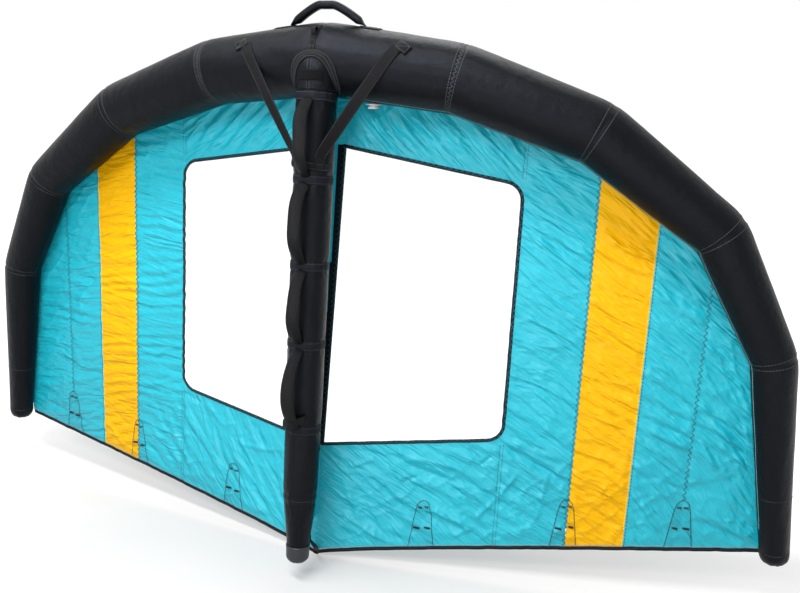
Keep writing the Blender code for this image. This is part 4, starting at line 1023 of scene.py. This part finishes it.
def make_dome():
    """The cloth cap that joins the strut's head to the front of the leading edge."""
    widths = np.interp(np.linspace(0, 1, 46), (0.0, 0.25, 0.5, 0.7, 0.87, 0.96, 1.0),
                       (1.0, 1.0, 0.97, 0.86, 0.62, 0.34, 0.1))
    widths = np.convolve(np.pad(widths, 2, "edge"), np.ones(5) / 5, "valid")
    outward = turned(AROUND, STRUT_FRONT, X)

    def row(share, width):
        along = -DOME_LENGTH * share
        radius = (STRUT_RADII[0] + COVER) * width + 0.0008 * noise(AROUND * 5, share * 6, 170)
        return STRUT_TOP + STRUT_WAY * along + outward * radius[:, None], flat_map(along, AROUND * STRUT_MAP)

    grid, uv = swept(zip(np.linspace(0, 1, 46), widths), row)
    grid_piece("strut_head", grid, uv, "sleeve_cloth", ring=True, caps=True, flip=True, replaces="strut_dome")
    # where the cap meets the tube, and the cap's place a little before it
    edge, inner, outs = [], [], []
    for c in (*range(56, 96), *range(0, 41)):
        line = grid[:, c]
        gap = np.linalg.norm(line[:, 1:] - (0.0, EDGE_Z), axis=1) - EDGE_RADII[0]
        inside = np.nonzero(gap < 0)[0]
        k = inside[0] if len(inside) else len(line) - 1
        if k == 0:
            continue
        f = gap[k - 1] / max(gap[k - 1] - gap[k], 1e-9)
        place = line[k - 1] * (1 - f) + line[k] * f
        back = np.interp(0.013, np.linalg.norm(line[:k] - place, axis=1)[::-1], np.arange(k)[::-1])
        edge.append(place)
        inner.append(interp_line(back, np.arange(len(line)), line))
        outs.append(outward[c])
    make_head_border(*map(np.array, (edge, inner, outs)))
    make_head_details(grid[:, 0])


def make_head_border(edge, inner, outs):
    """The stitched border where the cap meets the tube."""
    tube_out = unit((edge - (0.0, 0.0, EDGE_Z)) * (0, 1, 1))
    away = square_to(edge - (0.0, *edge[:, 1:].mean(0)), tube_out)
    between = unit(tube_out + outs)
    ring = np.array([pull_to_tube(edge + away * 0.015, 0.0004), pull_to_tube(edge + away * 0.0145, 0.0022),
                     pull_to_tube(edge + away * 0.008, 0.0028), edge + between * 0.0042,
                     (edge + inner) / 2 + outs * 0.003, inner + outs * 0.0024,
                     inner * 1.02 - edge * 0.02 + outs * 0.0002])
    grid_piece("head_border", ring, flat_map(run_along(edge), np.arange(7)[:, None] * 0.005), "webbing", flip=True)
    grey.row(ring[2] + away * 0.003, tube_out, *BORDER_ROW)
    grey.row(ring[2] * 0.5 + ring[3] * 0.5, between, *BORDER_ROW)
    grey.row(ring[4] + outs * 0.0003, outs, *BORDER_ROW)


def make_head_details(line):
    """The hook-and-loop patch, the head's centre seam, and the centre webbing with its small loop."""
    angles = np.linspace(-0.68, 0.68, 28)

    def patch_row(share, rim):
        along = -DOME_LENGTH * share
        lift = np.where(np.abs(angles) > 0.665, 0.0006, rim) + STRUT_RADII[0] + COVER
        points = STRUT_TOP + STRUT_WAY * along + turned(angles, STRUT_FRONT, X) * lift[:, None]
        return points, flat_map(along, angles * 0.065)

    shares = np.linspace(0.2, 0.45, 14)
    grid, uv = swept(zip(shares, np.where((shares > 0.21) & (shares < 0.44), 0.0026, 0.0008)), patch_row)
    grid_piece("closure_tape", grid, uv, "hook_tape", slot="webbing", flip=True, replaces="closure_patch")
    seam = interp_line(np.linspace(0.0, 0.75 * (len(line) - 1), 40), np.arange(len(line)), line)
    for x in (0.004, -0.004):
        grey.row(seam + STRUT_FRONT * 0.0006 + X * x, STRUT_FRONT, 0.006, 0.001, 0.0007)
    low, high = math.radians(204), math.radians(262)
    phi = np.linspace(low, high, 40)

    def webbing_row(x, lift):
        return edge_point(CENTRE_U, phi, lift)[0] + X * (x - SEAM_X), flat_map(phi * 0.11, x)

    profile = ((-0.0112, 0.0004), (-0.011, 0.002), (0.0, 0.0023), (0.011, 0.002), (0.0112, 0.0004))
    grid_piece("centre_webbing", *swept(profile, webbing_row), "webbing", flip=True)
    share = np.linspace(0, 1, 30)
    base, out = edge_point(CENTRE_U, math.radians(217) + 0.24 * share)
    centres = base + out * (0.002 + 0.015 * np.sin(np.pi * share) ** 0.8)[:, None] - X * SEAM_X
    strap("centre_loop", centres, out, 0.014, 0.0026, "webbing")
    for first, last in ((0.6, 0.78), (0.8, 0.98)):
        turn = np.linspace(low + (high - low) * first, low + (high - low) * last, 12)
        for x in (-0.008, 0.008):
            p, n = edge_point(CENTRE_U, turn, 0.0024)
            grey.row(p + X * (x - SEAM_X), n, *WEBBING_ROW)
        for end in (turn[0], turn[-1]):
            p, n = edge_point(CENTRE_U, end, 0.0024)
            grey.row(p + X * (np.linspace(-0.008, 0.008, 6) - SEAM_X)[:, None], n, *WEBBING_ROW)


def make_braces():
    """The webbing braces that run from the leading edge to the strut, with their sewn patches."""
    steps = np.linspace(0, 1, 26)
    free = np.linspace(0, 1, 40)[1:-1, None]
    ahead = np.linspace(-0.012, 0.02, 14)
    rim = np.where((ahead > -0.0115) & (ahead < 0.0195), 1.0, 0.55)
    box = ((-0.008, -0.018), (-0.008, 0.018), (0.016, 0.018), (0.016, -0.018), (-0.008, -0.018), (0.016, 0.018))
    for side, sign in SIDES:
        high = 0.242 if sign > 0 else 0.238
        wrap, out0 = edge_point(sign * (high + (0.206 - high) * steps), math.radians(230) + math.radians(34) * steps,
                                0.0028)
        lap, out1 = strut_point(np.linspace(0.1265, 0.15, 10), sign * math.radians(40), 0.003, False)
        span = wrap[-1] * (1 - free) + lap[0] * free - Y * 0.004 * np.sin(np.pi * free)
        centres = np.vstack([wrap, span, lap])
        outs = np.vstack([out0, unit(out0[-1] * (1 - free) + out1[0] * free), out1])
        for _ in range(6):
            centres[1:-1] = (centres[:-2] + 2 * centres[1:-1] + centres[2:]) / 4
            outs[1:-1] = unit(outs[:-2] + outs[1:-1] + outs[2:])
        strap("brace_webbing_" + side, centres, outs, 0.036, 0.0028, "webbing", sides=14, power=5,
              replaces="brace_" + side)
        way = unit(centres[9] - centres[1])
        over = unit(np.cross(way, outs[4]))

        def patch_row(w, lift):
            return pull_to_tube(centres[0] + way * ahead[:, None] + over * w, lift * rim), flat_map(ahead, w)

        profile = ((-0.023, 0.0008), (-0.0226, 0.0052), (0.0, 0.006), (0.0226, 0.0052), (0.023, 0.0008))
        grid_piece("brace_patch_" + side, *swept(profile, patch_row), "webbing", flip=sign > 0)
        for start, end in zip(box, box[1:]):
            a, w = np.linspace(start, end, 10).T[..., None]
            grey.row(pull_to_tube(centres[0] + way * a + over * w, 0.0062), outs[4], 0.005, 0.0015, 0.0008)
        middle, up = centres[8:-6], outs[8:-6]
        beside = unit(np.cross(unit(np.gradient(middle, axis=0)), up)) * 0.0155
        for shift in (-beside, beside):
            grey.row(middle + shift + up * 0.0015, up, 0.006, 0.0009, 0.0004, 0.5)


def make_gather():
    """The gathered webbing band on the strut that holds the two braces' ends."""
    angle = np.linspace(math.radians(-78), math.radians(74), 60)
    wave = 0.0045 * np.sin(angle * 1.3)

    def row(over, lift):
        t = GATHER_PLACE + (over + wave + 0.0016 * noise(angle * 5, over * 90, 191)) / STRUT_LENGTH
        lumps = 0.0016 * noise(angle * 9, over * 60, 190) * (lift > 0.001)
        return strut_point(t, angle, lift + lumps)[0], flat_map(angle * STRUT_MAP, over)

    profile = ((-0.0125, 0.0004), (-0.0118, 0.0042), (-0.004, 0.0058), (0.004, 0.0056), (0.0118, 0.004),
               (0.0125, 0.0004))
    grid_piece("brace_gather", *swept(profile, row), "webbing", flip=True)
    for off in (-0.008, 0.008):
        grey.row(*strut_point(GATHER_PLACE + (off + wave) / STRUT_LENGTH, angle, 0.0056), 0.006, 0.0012, 0.0006)


def pull_to_tube(points, lift):
    """The same places, moved out to a height over the leading edge's surface."""
    u = points[:, 0] / math.cos(math.atan2(kinks[0][2] - kinks[1][2], kinks[1][0]))
    centre = edge_line(u)
    return centre + square_to(points - centre, edge_frame(u)[0]) * (edge_radius(u) + lift)[:, None]


def make_web():
    """The cloth web behind the strut, in three lengths by colour."""
    rows = np.linspace(0, 1, 9)
    for name, first, last, material, replaces in (
            ("web_cloth", 0.012, 0.475, "teal_cloth", "strut_web"), ("web_cloth_low", 0.475, 0.8, "dark_trim", None),
            ("web_cloth_tail", 0.8, 0.955, "teal_cloth", None)):
        near = strut_point(np.linspace(first, last, 70), np.pi, 0.0002)[0]
        y, z = near[:, 1], near[:, 2]
        depth = flat_y(np.zeros_like(z), z) - 0.0008 - y
        sway = 0.0012 * noise(z * 14, 0.4, 180)[:, None] * np.sin(np.pi * rows)
        grid = np.stack(np.broadcast_arrays(sway, y[:, None] + depth[:, None] * rows, z[:, None]), -1)
        piece = grid_piece(name, grid, grid[..., 1:], material, replaces=replaces)


def make_tie():
    """The webbing tie from the strut's tail to the middle of the hem."""
    start, out = strut_point((0.957, 0.97), math.radians(128), 0.0016, False)
    end = np.array((0.004, -CENTRE_OFFSET - 0.0035, EDGE_Z - CHORD + 0.004))
    share = np.linspace(0, 1, 30)[:, None]
    span = start[1] * (1 - share) + end * share + (X * 0.01 - Z * 0.006) * np.sin(np.pi * share)
    centres = np.vstack([start[:1], span, [end - Z * 0.012]])
    outs = unit(np.vstack([out[:1], out[1] * (1 - share) - Y * share, [-Y]]))
    strap("tail_tie_webbing", centres, outs, 0.018, 0.0018, "webbing", power=5, replaces="tail_tie")


def dress_small_parts():
    """Materials for the solids whose shape is already right."""
    for node, material in (("air_hose", "moulded_black"), ("valve_body", "valve_plastic"),
                           ("valve_cap", "valve_plastic")):
        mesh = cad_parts[node].data
        add_map(mesh, "metres", np.array([v.co for v in mesh.vertices])[:, [0, 2]])
        for k in range(len(mesh.materials)):
            mesh.materials[k] = mats[material]


# Camera, lights and floor

def make_camera():
    """The photo's camera, from a fit to its measured points."""
    camera = bpy.data.cameras.new("camera")
    camera.sensor_width = camera.lens = 36.0
    camera.clip_end = 100.0
    view = add_object("camera", camera)
    view.location = (1.05399, -2.38242, -0.19357)
    view.rotation_euler = (1.30319, -0.029239, 0.328556)
    bpy.context.scene.camera = view


def make_floor():
    """A plain floor that fades to the white background with distance, and behind the wing."""
    mesh = bpy.data.meshes.new("floor")
    corners = [(x, y, FLOOR_Z) for x, y in ((-30, -30), (30, -30), (30, 30), (-30, 30))]
    mesh.from_pydata(corners, [], [(0, 1, 2, 3)])
    floor = add_object("floor", mesh)
    g, shader = new_material("floor")
    place = g.add("TexCoord", output="Object")
    far = g.add("VectorMath", {0: place}, "Value", operation="LENGTH")
    behind = g.add("SeparateXYZ", {0: place}, "Y")
    fade = g.calc("MAXIMUM", g.line(far, 0.5, -0.62), g.line(behind, 1.6, -0.16))
    fade = g.calc("MINIMUM", g.calc("MAXIMUM", fade, 0.0), 1.0)
    g.put(shader, {"Roughness": 0.9, "Specular IOR Level": 0.0, "Base Color": (0.42, 0.41, 0.405),
                   "Emission Color": (1, 1, 1),
                   "Emission Strength": g.calc("MULTIPLY", g.sight(), g.calc("MULTIPLY", fade, 1.05))})
    mesh.materials.append(mats["floor"])


def make_lights():
    """A soft world, which shows as white, and four lamps."""
    world = bpy.data.worlds.new("world")
    bpy.context.scene.world = world
    g = Graph(world)
    g.put(g.nodes["Background"], {"Strength": g.line(g.sight(), 0.76, 0.24), "Color": (1.0, 1.0, 1.0)})
    cool, plain = (0.98, 0.99, 1.0), (1.0, 1.0, 1.0)
    for name, place, aim, size, power, colour in (
            ("key", (-0.55, -2.6, 1.1), (0.1, 0.0, -0.9), (1.6, 0.8), 66, cool),
            ("sky", (-0.6, -1.5, 2.6), (0.0, 0.0, -0.3), (3.0, 0.5), 172, cool),
            ("fill", (0.55, -3.4, -0.9), (0.2, 0.0, -0.5), (2.2, 0.8), 44, plain),
            ("back", (-0.4, 2.6, 2.6), (0.0, 0.0, -0.9), (3.0, 1.6), 70, plain)):
        lamp = bpy.data.lights.new(name, "AREA")
        lamp.shape = "RECTANGLE"
        lamp.size, lamp.size_y = size
        lamp.energy, lamp.color = power, colour
        o = add_object(name, lamp)
        o.location = place
        o.rotation_euler = (Vector(aim) - Vector(place)).to_track_quat("-Z", "Y").to_euler()
    bpy.context.scene.view_settings.view_transform = "Standard"


for make in (make_camera, make_floor, make_lights, make_sleeve, make_bladders, make_strut, make_tail, make_canopy,
             make_pockets, make_grips, make_keeper, make_carry, make_dome, make_braces, make_gather, make_web,
             make_tie, dress_small_parts):
    make()
for thread in (black, grey, teal, pale, yellow):
    thread.build()
